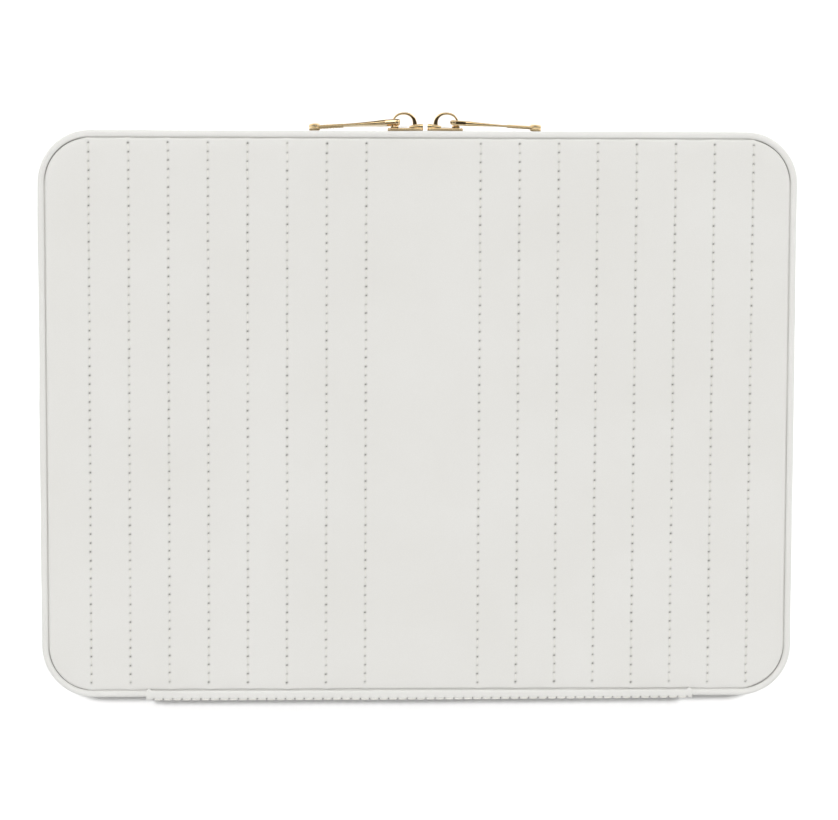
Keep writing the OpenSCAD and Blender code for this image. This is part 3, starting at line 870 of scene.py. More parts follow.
# %% Leather walls
WALL_EDGE, LEATHER = EDGE / MM, 1.4
RIM_TOP = TOP / MM - wall_high.z / MM
wall_section = (
    [(LEATHER, 4.0), (LEATHER, 9.0), (LEATHER, 14.0), (LEATHER, WALL_EDGE - 0.7)]
    + [(0.72 + 0.68 * math.cos(a), WALL_EDGE - 0.72 + 0.70 * math.sin(a))
       for a in np.radians(np.arange(15, 181, 33))]
    + [(0.0, 15.6), (0.07, 15.15), (0.14, 14.8), (0.07, 14.45), (-0.02, 13.9), (-0.10, 12.0), (-0.16, 9.5)]
    + [(-0.14, 7.0), (-0.06, 4.6), (0.0, 3.0), (0.02, 2.1)]
    + [(1.2 - 1.18 * math.cos(a), RIM_TOP + 1.15 - 1.15 * math.sin(a))
       for a in np.radians(np.arange(14, 91, 19))]
    + [(1.8, RIM_TOP + 0.02), (2.25, RIM_TOP + 0.14), (2.52, RIM_TOP + 0.42), (2.6, RIM_TOP + 0.75)]
    + [(2.9, RIM_TOP + 1.0), (3.4, RIM_TOP + 1.05), (3.5, 2.0), (2.6, 2.5), (1.6, 3.0)]
)
around = np.arange(0, ALL_ROUND, 1.7)
around = around * ALL_ROUND / (around[-1] + 1.7)
wall_holes = np.arange(0, ALL_ROUND, STITCH)
wall_holes = wall_holes * ALL_ROUND / (wall_holes[-1] + STITCH)


def make_wall(side, seed):
    section = np.array(wall_section)
    outer = (section[:, 0] < 0.6) & (section[:, 1] < 15.5)
    rim = (section[:, 1] < 2.3) & (section[:, 0] < 2.55)
    ripple = smooth_noise(around, 23, seed, 0.10) + smooth_noise(around, 6, seed + 1, 0.03)
    bead = smooth_noise(around, 11, seed + 2, 0.05)
    shift = ripple[:, None] * outer + bead[:, None] * rim
    points, faces = swept(section, around, shift=shift)
    path, _ = walk(around)
    at_corner = np.clip((np.abs(path[:, 0]) - HALF_X / MM + 21) / 8, 0, 1)
    at_corner *= np.clip((np.abs(path[:, 1]) - HALF_Y / MM + 21) / 8, 0, 1)
    # The groove behind the rim is painted darker, most at the corners, as the shade in it.
    groove = (section[:, 0] > 2.55) & (section[:, 1] < RIM_TOP + 1.2)
    groove_shade = (0.05 + 0.55 * at_corner[:, None]) * groove[None, :]
    place, outward = walk(wall_holes)
    sunk = np.concatenate([place - 0.12 * outward, np.full((len(place), 1), 14.8)], 1)
    facing = np.concatenate([outward, np.zeros((len(place), 1))], 1)
    thread_points, thread_faces = stitches(sunk, facing)
    points, thread_points = for_side(side, points), for_side(side, thread_points)
    wall = make_piece(side + "_leather_wall", points, faces, WALL_LEATHER, side,
                      [side + "_wall"])
    set_mask(wall, groove_shade)
    make_piece(side + "_wall_stitching", thread_points, thread_faces, THREAD, side)


for side, seed in (("base", 31), ("lid", 41)):
    make_wall(side, seed)
print("walls made from a section of", len(wall_section), "points, walked in", len(around), "steps")

# %% [markdown]
# ## Spine
# One strip of leather is stitched over both rims and hinges the trays. It is made in two halves
# that meet in the middle of its width, and each half bends at its own tray's fold. A small tab at
# each end covers the end of the seam.

# %% Leather spine
strip_low, strip_high = as_mm("spine_strip_lower")
half_strip = strip_high[0]
strip_holes = np.arange(-half_strip + 1.9, half_strip - 1.0, 3.6)
strip_x = filled(np.concatenate([(strip_holes[:, None] + np.array([-0.9, -0.35, 0, 0.35, 0.9])).ravel(),
                                 [-half_strip, -half_strip + 0.2, -half_strip + 0.6, -half_strip + 1.2],
                                 [half_strip, half_strip - 0.2, half_strip - 0.6, half_strip - 1.2]]), 1.0)


def sewn_at(x):
    """The strip is sewn on by hand, a little to one side."""
    return -0.9 + 1.0075 * x


def strip_half():
    """The base's half of the strip, from its lip over the rim up to the middle of the spine."""
    outer, inner, lip_y = strip_high[1], CASE_Y + 0.02, strip_low[1]
    bend = [(outer - 1.0 + 1.0 * math.sin(a), 1.1 - 1.0 * math.cos(a))
            for a in np.radians(np.arange(10, 91, 16))]
    heights = [2.0, 4.5, 7.5, 10.5, 13.2, 14.2, 15.0, 15.6, 16.0, 16.3, 16.6, 16.9, 17.2, 17.6,
               18.6, 20.3, MID / MM]
    outside = [(lip_y, 0.42), (lip_y + 0.15, 0.22), (lip_y + 0.6, 0.10), (lip_y + 1.5, 0.10),
               (108.4, 0.16)] + bend
    outside += [(outer, z) for z in heights]
    inside = [(inner, z) for z in heights[::-1]] + [
        (inner, 1.5), (inner - 0.5, 0.72), (lip_y + 1, 0.58), (lip_y, 0.58)]
    section = np.array(outside + inside)
    points = np.zeros((len(strip_x), len(section), 3))
    points[..., 0] = sewn_at(strip_x)[:, None]
    points[..., 1] = section[:, 0]
    points[..., 2] = section[:, 1]
    at_end = np.clip((half_strip - np.abs(strip_x)) / 1.2, 0, 1)
    middle = (outer + inner) / 2
    on_side = (section[:, 1] > 1.2)[None, :]
    pinch = (1 - np.sqrt(1 - (1 - at_end) ** 2)) * 0.45
    points[..., 1] += np.where(on_side, (middle - points[..., 1]) * pinch[:, None], 0)
    tab = np.exp(-((half_strip - 1.1 - np.abs(strip_x)) / 0.8) ** 2)
    lip = np.clip((lip_y + 1.5 - section[:, 0]) / 1.5, 0, 1) * (section[:, 1] < 0.7)
    points[..., 1] -= 0.9 * tab[:, None] * lip[None, :]
    points[..., 2] -= 0.06 * tab[:, None] * lip[None, :]
    dent = np.exp(-(np.abs(strip_x[:, None] - strip_holes[None, :]).min(1) / 0.42) ** 2)
    seam = np.exp(-(np.hypot(section[:, 0] - (outer - 0.35), section[:, 1] - 0.42) / 0.55) ** 2)
    points[..., 2] += 0.22 * dent[:, None] * seam[None, :]
    points[..., 1] -= 0.22 * dent[:, None] * seam[None, :]
    # The seam's needle holes are painted dark, as the shade inside them.
    from_seam = np.hypot(section[:, 0] - (outer - 0.3), section[:, 1] - 0.4)
    painted_shade = dent[:, None] * np.exp(-(from_seam / 0.4) ** 2)[None, :]
    swell = smooth_noise(strip_x, 14, 5, 0.07)
    out = (section[:, 0] > inner + 0.3) & (section[:, 1] > 1.0) & (section[:, 1] < 21)
    points[..., 1] += swell[:, None] * out[None, :]
    skived = 0.45 * np.clip(-strip_x / half_strip, 0, 1)
    points[..., 1] -= skived[:, None] * (section[:, 0] > inner + 0.3)[None, :]
    return points.reshape(-1, 3), tube_faces(len(strip_x), len(section)), painted_shade


def strip_stitching():
    holes_x = sewn_at(strip_holes)
    skived = 0.45 * np.clip(-strip_holes / half_strip, 0, 1)
    lip = np.stack([holes_x, strip_high[1] - 0.30 - skived, np.full(len(holes_x), 0.38)], -1)
    side_row = np.stack([holes_x, strip_high[1] - skived, np.full(len(holes_x), 14.2)], -1)
    return joined(stitches(lip, np.tile([0, 0.7, -0.7], (len(lip), 1)), 0.27, 0.12),
                  stitches(side_row, np.tile([0, 1.0, 0], (len(lip), 1)), 0.25, 0.14))


strip_points, strip_faces, strip_painted_shade = strip_half()
seam_points, seam_faces = strip_stitching()
spine_lower = make_piece("spine_leather_lower", strip_points, strip_faces, WALL_LEATHER,
                         stands_for=["spine_strip_lower", "spine_band"])
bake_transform(spine_lower)
spine_upper = make_piece("spine_leather_upper", turned_over(strip_points), strip_faces, WALL_LEATHER,
                         stands_for=["spine_strip_upper", "spine_band"])
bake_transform(spine_upper)
for half in (spine_lower, spine_upper):
    set_mask(half, strip_painted_shade)
make_piece("spine_stitching_lower", seam_points, seam_faces, THREAD, "base")
make_piece("spine_stitching_upper", turned_over(seam_points), seam_faces, THREAD, "lid")

# %% [markdown]
# Inside, a strip of lining cloth covers the back of the spine. It is also made in two halves.

# %% Spine gusset
gusset_low, gusset_high = as_mm("spine_gusset")


def gusset_half():
    along = np.linspace(gusset_low[0], gusset_high[0], 150)
    front = [(gusset_high[1] - 0.1, z) for z in np.linspace(gusset_low[2] - 1.2, MID / MM, 12)]
    back = [(gusset_low[1], z) for z in np.linspace(MID / MM, gusset_low[2] - 1.2, 12)]
    section = np.array(front + back)
    points = np.zeros((len(along), len(section), 3))
    points[..., 0] = along[:, None]
    sag = smooth_noise(along, 5, 9, 0.10)[:, None]
    points[..., 1] = section[:, 0] + sag * (section[:, 0] < gusset_low[1] + 0.1)
    points[..., 2] = section[:, 1]
    return points.reshape(-1, 3), tube_faces(len(along), len(section))


gusset_points, gusset_faces = gusset_half()
gusset_lower = make_piece("gusset_lower", gusset_points, gusset_faces, LINING,
                          stands_for=["spine_gusset"])
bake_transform(gusset_lower)
gusset_upper = make_piece("gusset_upper", turned_over(gusset_points), gusset_faces, LINING,
                          stands_for=["spine_gusset"])
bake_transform(gusset_upper)

# %% [markdown]
# ## Zip
# The tape is woven, with a rib at each edge. The coil is one nylon thread wound round and sewn to
# the tape, so each row is a long spring. The two rows' loops lie between each other.

# %% Tape
TAPE_END, COIL_END = 100.0, 107.5
tape_run = np.arange(TAPE_END, ALL_ROUND - TAPE_END, 1.0)
tape_front = [(1.42, z) for z in (12.2, 13.5, 15.0, 16.5, 17.2)] + [
    (1.32, 17.55), (1.44, 17.9), (1.30, 18.25), (1.44, 18.6), (1.30, 18.95), (1.46, 19.5), (1.5, 20.4)]
tape_back = [(1.9, 20.75), (2.1, 20.4), (2.1, 19.2), (2.0, 18.8), (2.12, 18.4), (2.02, 18.0), (2.12, 17.6),
             (2.1, 16.6), (2.1, 14.5), (2.1, 12.3), (1.75, 12.0)]
tape_section = np.array(tape_front + tape_back)
for side, seed in (("base", 51), ("lid", 52)):
    rib = 0.04 * (np.arange(len(tape_run)) % 2) + smooth_noise(tape_run, 9, seed, 0.06)
    shown = (tape_section[:, 1] > 17.3).astype(float)
    points, faces = swept(tape_section, tape_run, closed=False, shift=rib[:, None] * shown[None, :])
    points = for_side(side, points)
    make_piece(side + "_tape", points, faces, TAPE, side, [side + "_zip_tape"])

# %% [markdown]
# Each row of coil is one long thread wound round and round. The lid's row is half a turn behind
# the base's, so that when the case is closed the turns of one row lie between those of the other.

# %% Coil
COIL_PITCH, WIRE = 1.5, 0.31


def coil_row(half_turn):
    """One long spring of wire that follows the outline, with its heads past the middle of the zip."""
    length = ALL_ROUND - 2 * COIL_END
    turns = int(length / COIL_PITCH)
    steps = 12
    phase = np.arange(turns * steps + 1) * 2 * math.pi / steps + half_turn
    along = (COIL_END + (phase - half_turn) / (2 * math.pi) * COIL_PITCH
             + (half_turn / (2 * math.pi)) * COIL_PITCH)
    along = np.clip(along, COIL_END, ALL_ROUND - COIL_END)
    base, outward = walk(along)
    loop_x = np.sign(np.cos(phase)) * np.abs(np.cos(phase)) ** 0.8
    loop_z = np.sign(np.sin(phase)) * np.abs(np.sin(phase)) ** 0.7
    inset = 0.60 + (0.80 - WIRE) * loop_x
    height = 20.70 + (1.80 - WIRE) * loop_z
    centre = np.concatenate([base - inset[:, None] * outward, height[:, None]], 1)
    ahead = np.gradient(centre, axis=0)
    ahead /= np.linalg.norm(ahead, axis=1)[:, None]
    travel = np.stack([-outward[:, 1], outward[:, 0], 0 * height], -1)
    first = travel - (travel * ahead).sum(1)[:, None] * ahead
    first /= np.linalg.norm(first, axis=1)[:, None]
    second = np.cross(ahead, first)
    turn = np.arange(5) * 2 * math.pi / 5
    points = centre[:, None] + WIRE * (np.cos(turn)[None, :, None] * first[:, None]
                                       + np.sin(turn)[None, :, None] * second[:, None])
    return points.reshape(-1, 3), tube_faces(len(centre), 5)


for side, half_turn in (("base", 0.0), ("lid", math.pi)):
    points, faces = coil_row(half_turn)
    points = for_side(side, points)
    coil = make_piece(side + "_coil", points, faces, COIL, side, [side + "_zip_coil"])
print("coil rows of", len(coil.data.polygons), "faces each")

# %% [markdown]
# ## Hardware
# The metal pieces are cast and polished, so all their edges are soft. A loft of rounded sections
# makes most of them. Turned pieces, such as pins and the pulls' buttons, are spun from a profile.

# %% Lofts, spun pieces and plates
def loft(centres, wide, tall, sides=20, square=3.0):
    """Rounded sections joined along centres. wide and tall are each section's half axes, as vectors."""
    centres, wide, tall = (np.asarray(rows, float) for rows in (centres, wide, tall))
    turn = np.arange(sides) * 2 * math.pi / sides
    power = 2 / square
    u = np.sign(np.cos(turn)) * np.abs(np.cos(turn)) ** power
    v = np.sign(np.sin(turn)) * np.abs(np.sin(turn)) ** power
    points = centres[:, None] + u[None, :, None] * wide[:, None] + v[None, :, None] * tall[:, None]
    return points.reshape(-1, 3), tube_faces(len(centres), sides)


def spun(profile, centre, axis, sides=36):
    """A profile of (distance along the axis, radius) rows spun round the axis."""
    axis = np.asarray(axis, float) / np.linalg.norm(axis)
    helper = np.array([1.0, 0, 0]) if abs(axis[0]) < 0.8 else np.array([0, 1.0, 0])
    first = np.cross(axis, helper)
    first /= np.linalg.norm(first)
    second = np.cross(axis, first)
    turn = np.arange(sides) * 2 * math.pi / sides
    ring = np.cos(turn)[:, None] * first + np.sin(turn)[:, None] * second
    profile = np.asarray(profile, float)
    points = np.asarray(centre, float) + profile[:, None, :1] * axis + profile[:, None, 1:] * ring[None]
    return points.reshape(-1, 3), tube_faces(len(profile), sides)


def soft_plate(outline, low, high, soft=0.4, dome=0.2):
    """A plate with a rounded edge and a slightly domed top, from a closed outline of 2-D points."""
    outline = np.asarray(outline, float)
    ahead = np.roll(outline, -1, 0) - np.roll(outline, 1, 0)
    inward = np.stack([-ahead[:, 1], ahead[:, 0]], -1) / np.linalg.norm(ahead, axis=1)[:, None]
    middle = outline.mean(0)
    if ((middle - outline) * inward).sum() < 0:
        inward = -inward
    rings = []
    for a in np.radians([0, 30, 60, 90]):
        rings.append((soft * (1 - math.sin(a)), low + soft * (1 - math.cos(a)), 1.0))
    for a in np.radians([0, 22, 45, 67, 90]):
        rings.append((soft * (1 - math.cos(a)), high - dome - soft * (1 - math.sin(a)), 1.0))
    for size in (0.8, 0.55, 0.28):
        rings.append((soft, high - dome * size ** 2, size))
    layers = []
    for inset, height, size in rings:
        flat = outline + inset * inward
        flat = middle + (flat - middle) * size
        layers.append(np.concatenate([flat, np.full((len(flat), 1), height)], 1))
    return np.concatenate(layers), tube_faces(len(layers), len(outline))


# %% [markdown]
# Each slider is two domed plates on a wedge-shaped post, with a thick block at the nose. The
# sliders meet nose to nose. Places on a slider are given along the zip from the meeting point,
# outwards from the case's front, and across the zip.

# %% Sliders
MEET, ZIP_Z = -3.0, MID / MM
NOSE, TAIL, SLIDER_WIDE = 0.8, 14.7, 8.4


def at_slider(side, along, outward, across):
    along, outward, across = np.broadcast_arrays(np.asarray(along, float), outward, across)
    return np.stack([MEET + side * along, -CASE_Y - outward, ZIP_Z + across], -1)


def slider_outline(start, end, wide):
    """Rounded nose, straight shoulders and a narrower rounded tail, in (along, across)."""
    half, tail = wide / 2, 0.39 * wide
    corners = [(start, -half, 2.2), (start + 0.7 * wide, -half, 3.0), (end, -tail, 1.5),
               (end, tail, 1.5), (start + 0.7 * wide, half, 3.0), (start, half, 2.2)]
    points = []
    for i, (x, y, size) in enumerate(corners):
        before, after = np.array(corners[i - 1][:2]), np.array(corners[(i + 1) % 6][:2])
        here = np.array([x, y])
        a = here + (before - here) / np.linalg.norm(before - here) * size
        b = here + (after - here) / np.linalg.norm(after - here) * size
        for t in np.linspace(0, 1, 9):
            points.append((1 - t) ** 2 * a + 2 * t * (1 - t) * here + t * t * b)
    return np.array(points)


def on_slider(side, mesh):
    """Moves a plate built in (along, across, outward) to its place on the slider."""
    points, faces = mesh
    return at_slider(side, points[:, 0], points[:, 2], points[:, 1]), faces


def block(side, along0, along1, out0, out1, half_across, square=4.5, crown=0.25, slant=0.0):
    """A rounded block on the slider, narrower at its ends, whose top can fall away from the nose."""
    t = np.linspace(0, 1, 9)
    pinch = 1 - 0.22 * (2 * t - 1) ** 2
    height = (out1 - slant * t - out0) / 2
    centres = at_slider(side, along0 + (along1 - along0) * t,
                        out0 + height - crown * (2 * t - 1) ** 4 / 2, 0 * t)
    wide = np.zeros((9, 3))
    wide[:, 1] = height * (1 - 0.06 * (2 * t - 1) ** 4)
    tall = np.zeros((9, 3))
    tall[:, 2] = half_across * pinch
    return loft(centres, wide, tall, 24, square)


def make_slider(name, side):
    crown, nose_top, tail_top = 1.65, 3.45, 2.6
    outer_outline = slider_outline(NOSE, TAIL, SLIDER_WIDE)
    outer = on_slider(side, soft_plate(outer_outline, 0.35, crown + 0.05, 0.45, 0.22))
    inner_outline = slider_outline(NOSE + 0.4, TAIL - 1.2, SLIDER_WIDE)
    inner = on_slider(side, soft_plate(inner_outline, -3.55, -2.25, 0.4, 0.1))
    post_outline = np.array([
        (NOSE + 0.6, 0), (NOSE + 1.2, 0.45), (NOSE + 2, 0.7), (NOSE + 4, 0.7), (NOSE + 5, 0.35),
        (NOSE + 5.6, 0), (NOSE + 5, -0.35), (NOSE + 4, -0.7), (NOSE + 2, -0.7), (NOSE + 1.2, -0.45)])
    post = on_slider(side, soft_plate(post_outline, -2.4, 0.6, 0.05, 0.0))
    nose = block(side, NOSE + 0.05, 6.2, 1.1, nose_top, 2.6, 5.0, 0.45, slant=0.9)
    tail = block(side, 10.4, 13.4, 1.2, tail_top, 1.25, 5.0)
    flange = block(side, NOSE + 2.4, NOSE + 5.6, -1.0, 0.6, 0.38)
    flange = (flange[0] + np.array([0, 0, -SLIDER_WIDE / 2 + 0.4]), flange[1])
    points, faces = joined(outer, inner, post, nose, tail, flange)
    make_piece(name + "_case", points, faces, GOLD, name,
               ["slider_body_" + name.split("_")[1]], sharp=50)


def make_bail(name, side):
    """An arch with a thick leg by the nose and a thin one behind."""
    radius, middle_along, middle_out = 5.0, 8.1, 2.3
    turn = np.radians(np.linspace(180, 0, 29))
    t = np.linspace(0, 1, 29)
    thick = np.interp(t, [0, 0.2, 0.5, 0.8, 1], [1.9, 1.45, 1.0, 0.8, 0.7])
    across = np.interp(t, [0, 0.5, 1], [1.5, 1.42, 1.3])
    centre_radius = radius - thick / 2
    along = middle_along + centre_radius * np.sign(np.cos(turn)) * np.abs(np.cos(turn)) ** 0.86
    outward = middle_out + (centre_radius + 0.35) * np.sin(turn) ** 0.86
    along = np.concatenate([[along[0]], along, [along[-1]]])
    outward = np.concatenate([[1.9], outward, [1.9]])
    direction = np.concatenate([[math.pi], turn, [0.0]])
    thick = np.concatenate([[thick[0]], thick, [thick[-1]]])
    across = np.concatenate([[across[0]], across, [across[-1]]])
    wide = at_slider(side, thick / 2 * np.cos(direction), thick / 2 * np.sin(direction), 0)
    wide = wide - at_slider(side, 0, 0, 0)
    tall = at_slider(side, 0 * across, 0, across) - at_slider(side, 0, 0, 0)
    points, faces = loft(at_slider(side, along, outward, 0), wide, tall, 24, 7.0)
    make_piece(name + "_bail", points, faces, GOLD, name,
               ["slider_bail_" + name.split("_")[1]], sharp=60)


for name, side in (("slider_left", -1), ("slider_right", 1)):
    make_slider(name, side)
    make_bail(name, side)

# %% [markdown]
# A pull is a flat bar with a forked end, held on the bail's thin leg by a pin. It thins towards
# its tip, where both faces are knurled, and it ends in a round button. The free play in the bail
# lets each pull lie rolled over a little, one more than the other.

# %% Pulls
PIN_ALONG, PIN_OUT, PULL_LEAN = 11.0, 3.7, math.radians(3.5)
PULL_LONG, BUTTON = 34.3, 2.3


def on_pull(side, along, outward, across, roll):
    """Places on a pull, along it from the pin, outwards from its face and across it."""
    along, outward, across = np.broadcast_arrays(np.asarray(along, float), outward, across)
    turned_out = outward * math.cos(roll) - across * math.sin(roll)
    turned_across = outward * math.sin(roll) + across * math.cos(roll)
    return at_slider(side, PIN_ALONG + along * math.cos(PULL_LEAN) + turned_out * math.sin(PULL_LEAN),
                     PIN_OUT - along * math.sin(PULL_LEAN) + turned_out * math.cos(PULL_LEAN), turned_across)


def pull_loft(side, roll, along, half_out, half_across, middle_across=0.0, sides=24, square=8.0):
    zero = on_pull(side, 0, 0, 0, roll)
    along = np.asarray(along, float)
    centres = on_pull(side, along, 0, middle_across, roll)
    wide = on_pull(side, 0 * along, np.asarray(half_out) + 0 * along, 0, roll) - zero
    tall = on_pull(side, 0 * along, 0, np.asarray(half_across) + 0 * along, roll) - zero
    return loft(centres, wide, tall, sides, square)


def knurl(side, roll, face):
    """A raised pad of small pyramids on one face of the bar."""
    along, across = np.linspace(20.6, 30.4, 50), np.linspace(-1.75, 1.75, 19)
    a, c = np.meshgrid(along, across, indexing="ij")
    ridge = np.abs(((a + c) / 1.15) % 1 - 0.5) + np.abs(((a - c) / 1.15) % 1 - 0.5)
    edge = np.minimum(np.minimum(a - 20.6, 30.4 - a), 1.75 - np.abs(c))
    height = 0.30 + (0.16 + 0.30 * (1 - ridge)) * np.clip(edge / 0.3, 0, 1)
    top = on_pull(side, a, face * height, c, roll).reshape(-1, 3)
    under = on_pull(side, a, 0 * height, c, roll).reshape(-1, 3)
    return np.concatenate([top, under[border(a.shape)]]), skirted_faces(a.shape)


def make_pull(name, side, roll):
    bar_along = np.array([3.7, 3.9, 4.3, 5.2, 6.3, 8.0, 10.5, 14, 18, 22, 26, 29, 31, 32.2])
    bar_out = np.array([0.55, 0.85, 0.98, 1.0, 0.98, 0.86, 0.72, 0.58, 0.48, 0.42, 0.38, 0.36, 0.36, 0.36])
    bar_across = np.array([2.6, 2.95, 3.08, 3.08, 3.0, 2.75, 2.45, 2.25, 2.15, 2.1, 2.1, 2.1, 2.1, 2.05])
    bar = pull_loft(side, roll, bar_along, bar_out, bar_across)
    parts = [bar, knurl(side, roll, 1), knurl(side, roll, -1)]
    for cheek in (-1, 1):
        along = np.array([-1.25, -1.1, -0.7, 0, 0.9, 2, 3.2, 4.6])
        out = np.array([0.30, 0.62, 0.86, 0.98, 0.98, 0.97, 0.95, 0.95])
        parts.append(pull_loft(side, roll, along, out, 0.58, 2.5 * cheek, 24, 6.0))
    axis = on_pull(side, 0, 1, 0, roll) - on_pull(side, 0, 0, 0, roll)
    button = [(-1.35, 0.5), (-1.35, 1.45), (-1.24, 1.9), (-0.95, 2.2), (-0.6, 2.3), (-0.25, 2.22), (0, 2.14),
              (0.25, 2.22), (0.6, 2.3), (0.95, 2.2), (1.24, 1.9), (1.35, 1.45), (1.35, 0.5)]
    parts.append(spun(button, on_pull(side, PULL_LONG - BUTTON, 0, 0, roll), axis))
    points, faces = joined(*parts)
    tag = name.split("_")[1]
    make_piece(name + "_bar", points, faces, GOLD, name, ["pull_bar_" + tag], sharp=50)
    axis = on_pull(side, 0, 0, 1, 0) - on_pull(side, 0, 0, 0, 0)
    rivet = [(-3.35, 0.25), (-3.3, 0.55), (-3.15, 0.78), (-3.05, 0.6),
             (3.05, 0.6), (3.15, 0.78), (3.3, 0.55), (3.35, 0.25)]
    points, faces = spun(rivet, on_pull(side, 0, 0, 0, 0), axis, 24)
    make_piece(name + "_pin", points, faces, GOLD, name, ["pull_pin_" + tag], sharp=50)


make_pull("pull_left", -1, math.radians(2.5))
make_pull("pull_right", 1, math.radians(-8))

# %% [markdown]
# Each end of the zip has two small metal stops, pinched onto the tape like staples.

# %% End stops
for side in ("base", "lid"):
    parts = []
    for end in (-1, 1):
        t = np.linspace(-1, 1, 11)
        pinch = 1 - 0.16 * np.exp(-(t / 0.35) ** 2) - 0.28 * np.abs(t) ** 8
        centres = np.stack([end * 106.3 + t, np.full(11, 108.4), np.full(11, 20.0)], -1)
        wide, tall = np.zeros((11, 3)), np.zeros((11, 3))
        wide[:, 1], tall[:, 2] = 0.8 * pinch, 1.1 * pinch
        parts.append(loft(centres, wide, tall, 20, 4))
    points, faces = joined(*parts)
    points = for_side(side, points)
    make_piece(side + "_stops", points, faces, GOLD, side, [side + "_zip_stops"], sharp=50)
print("hardware made")

# %% [markdown]
# ## Trays and linings
# The board trays keep the frame's own shape, as only their edges show. The lining is one piece of
# micro-suede, glued into the tray over thin foam, so it rounds softly into the floor and turns
# over the tray's top edge.

# %% Boards
for node in ("base_shell", "lid_shell"):
    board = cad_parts[node]
    board.data.materials.clear()
    board.data.materials.append(BOARD)

# %% [markdown]
# The lining covers the floor and the inside of the tray. It curves up out of the floor, and its
# edge is turned over the top of the board.

# %% Linings
lining_low, lining_high = as_mm("base_lining")
FLOOR = as_mm("cross_divider")[0][2]
LIP_IN, BACK_IN, FACE_IN = 2.1, 3.8, 4.8
cove = [(FACE_IN + 1.7 * (1 - math.cos(a)), FLOOR + 1.7 * (1 - math.sin(a)))
        for a in np.radians([0, 20, 42, 66, 90])]
lining_side = [(BACK_IN, lining_low[2]), (BACK_IN, 11.0), (BACK_IN, WALL_EDGE + 0.02),
               (LIP_IN, WALL_EDGE + 0.02), (LIP_IN + 0.05, WALL_EDGE + 0.32),
               (LIP_IN + 0.35, lining_high[2]), (4.1, lining_high[2] + 0.02),
               (4.6, lining_high[2] - 0.2), (FACE_IN + 0.02, lining_high[2] - 0.75),
               (FACE_IN, 14.5), (FACE_IN, 12.0),
               (FACE_IN, 9.5)] + cove


def make_lining(side, seed):
    along = np.linspace(0, ALL_ROUND, 330, endpoint=False)
    section = np.array(lining_side)
    inner = (section[:, 0] >= 4.5)[None, :]
    slack = smooth_noise(along, 17, seed, 0.10)[:, None] * inner
    walls, _ = swept(section, along, shift=slack)
    rings = [walls]
    edge = walls[:, -1]
    for size in (0.985, 0.95, 0.88, 0.75, 0.56, 0.36, 0.16):
        ring = edge.copy()
        ring[:, :2] *= size
        ring[:, 2] = FLOOR + 0.05 * np.sin(ring[:, 0] / 13 + seed) * np.sin(ring[:, 1] / 15 + 2 * seed)
        rings.append(ring[:, None])
    points = np.concatenate(rings, 1)
    count, deep = points.shape[:2]
    faces = grid_faces(count, deep, wrap_rows=True)
    faces += [tuple(range(0, count * deep, deep)), tuple(range(deep - 1, count * deep, deep))]
    points = points.reshape(-1, 3)
    points = for_side(side, points)
    lining = make_piece(side + "_suede_lining", points, faces, LINING, side,
                        [side + "_lining"])


make_lining("base", 71)
make_lining("lid", 81)

# %% [markdown]
# ## Dividers
# Each divider is a card core wrapped in suede over thin foam. The wrap is sewn along both sides
# just under the top edge, which leaves a soft bead on top. The ends butt against the lining.

# %% Dividers
divider_half = 1.5
bead = [(divider_half * math.cos(a) * 0.96, 15.35 + 1.12 * math.sin(a))
        for a in np.radians(np.arange(0, 181, 20))]
divider_face = [(1.30, FLOOR), (1.44, FLOOR + 0.4), (1.47, 8.0), (1.50, 11.0), (1.46, 13.4),
                (1.36, 14.2), (1.18, 14.55), (1.34, 14.9)]
divider_section = np.array(divider_face + bead + [(-out, up) for out, up in divider_face[::-1]])
DIVIDER_TOP, STITCHES_AT = 16.47, 14.55  # of a divider of full height


def make_divider(node, seed):
    low, high = as_mm(node)
    long_x = high[0] - low[0] > high[1] - low[1]
    axis = 0 if long_x else 1
    along = np.arange(low[axis] + 0.05, high[axis] - 0.04, 1.25)
    along = np.append(along, high[axis] - 0.05)
    middle = (low[1 - axis] + high[1 - axis]) / 2
    section = divider_section.copy()
    section[:, 1] = FLOOR + (section[:, 1] - FLOOR) * (high[2] - FLOOR) / (section[:, 1].max() - FLOOR)
    points = np.zeros((len(along), len(section), 3))
    lean = smooth_noise(along, 30, seed, 0.12)[:, None] * np.clip((section[:, 1] - FLOOR) / 11, 0, 1)[None, :]
    soft = 1 + smooth_noise(along, 7, seed + 1, 0.03)[:, None] * (section[:, 1] < 14)[None, :]
    points[..., axis] = along[:, None]
    points[..., 1 - axis] = middle + lean + section[None, :, 0] * soft
    points[..., 2] = section[None, :, 1]
    faces = tube_faces(len(along), len(section))
    holes = np.arange(along[0] + 1.4, along[-1] - 1, 2.8)
    threads = []
    for face in (-1, 1):
        row = np.zeros((len(holes), 3))
        row[:, axis] = holes
        row[:, 1 - axis] = middle + face * 1.22 + smooth_noise(holes, 30, seed, 0.12)
        tall = (high[2] - FLOOR) / (DIVIDER_TOP - FLOOR)
        row[:, 2] = STITCHES_AT * tall + FLOOR * (1 - tall)
        facing = np.zeros((len(holes), 3))
        facing[:, 1 - axis] = face
        threads.append(stitches(row, facing, 0.14, 0.10))
    divider = make_piece(node + "_pad", points, faces, PADDING, "base", [node])
    thread_points, thread_faces = joined(*threads)
    make_piece(node + "_thread", thread_points, thread_faces, SUEDE_THREAD, "base")


SUEDE_THREAD, suede_tree, suede_shader = new_material("suede_thread", Roughness=0.6, Sheen_Weight=0.2)
thread_drift = use(suede_tree, DRIFT, Light=(0.55, 0.45, 0.34, 1), Dark=(0.44, 0.35, 0.26, 1),
                   Patch_Size=0.003)
suede_tree.links.new(thread_drift["Color"], suede_shader.inputs["Base Color"])
for number, node in enumerate(("cross_divider", "front_divider", "small_divider_long", "small_divider_short",
                               "rear_divider_left", "rear_divider_right")):
    make_divider(node, 90 + 2 * number)
print("linings and dividers made")

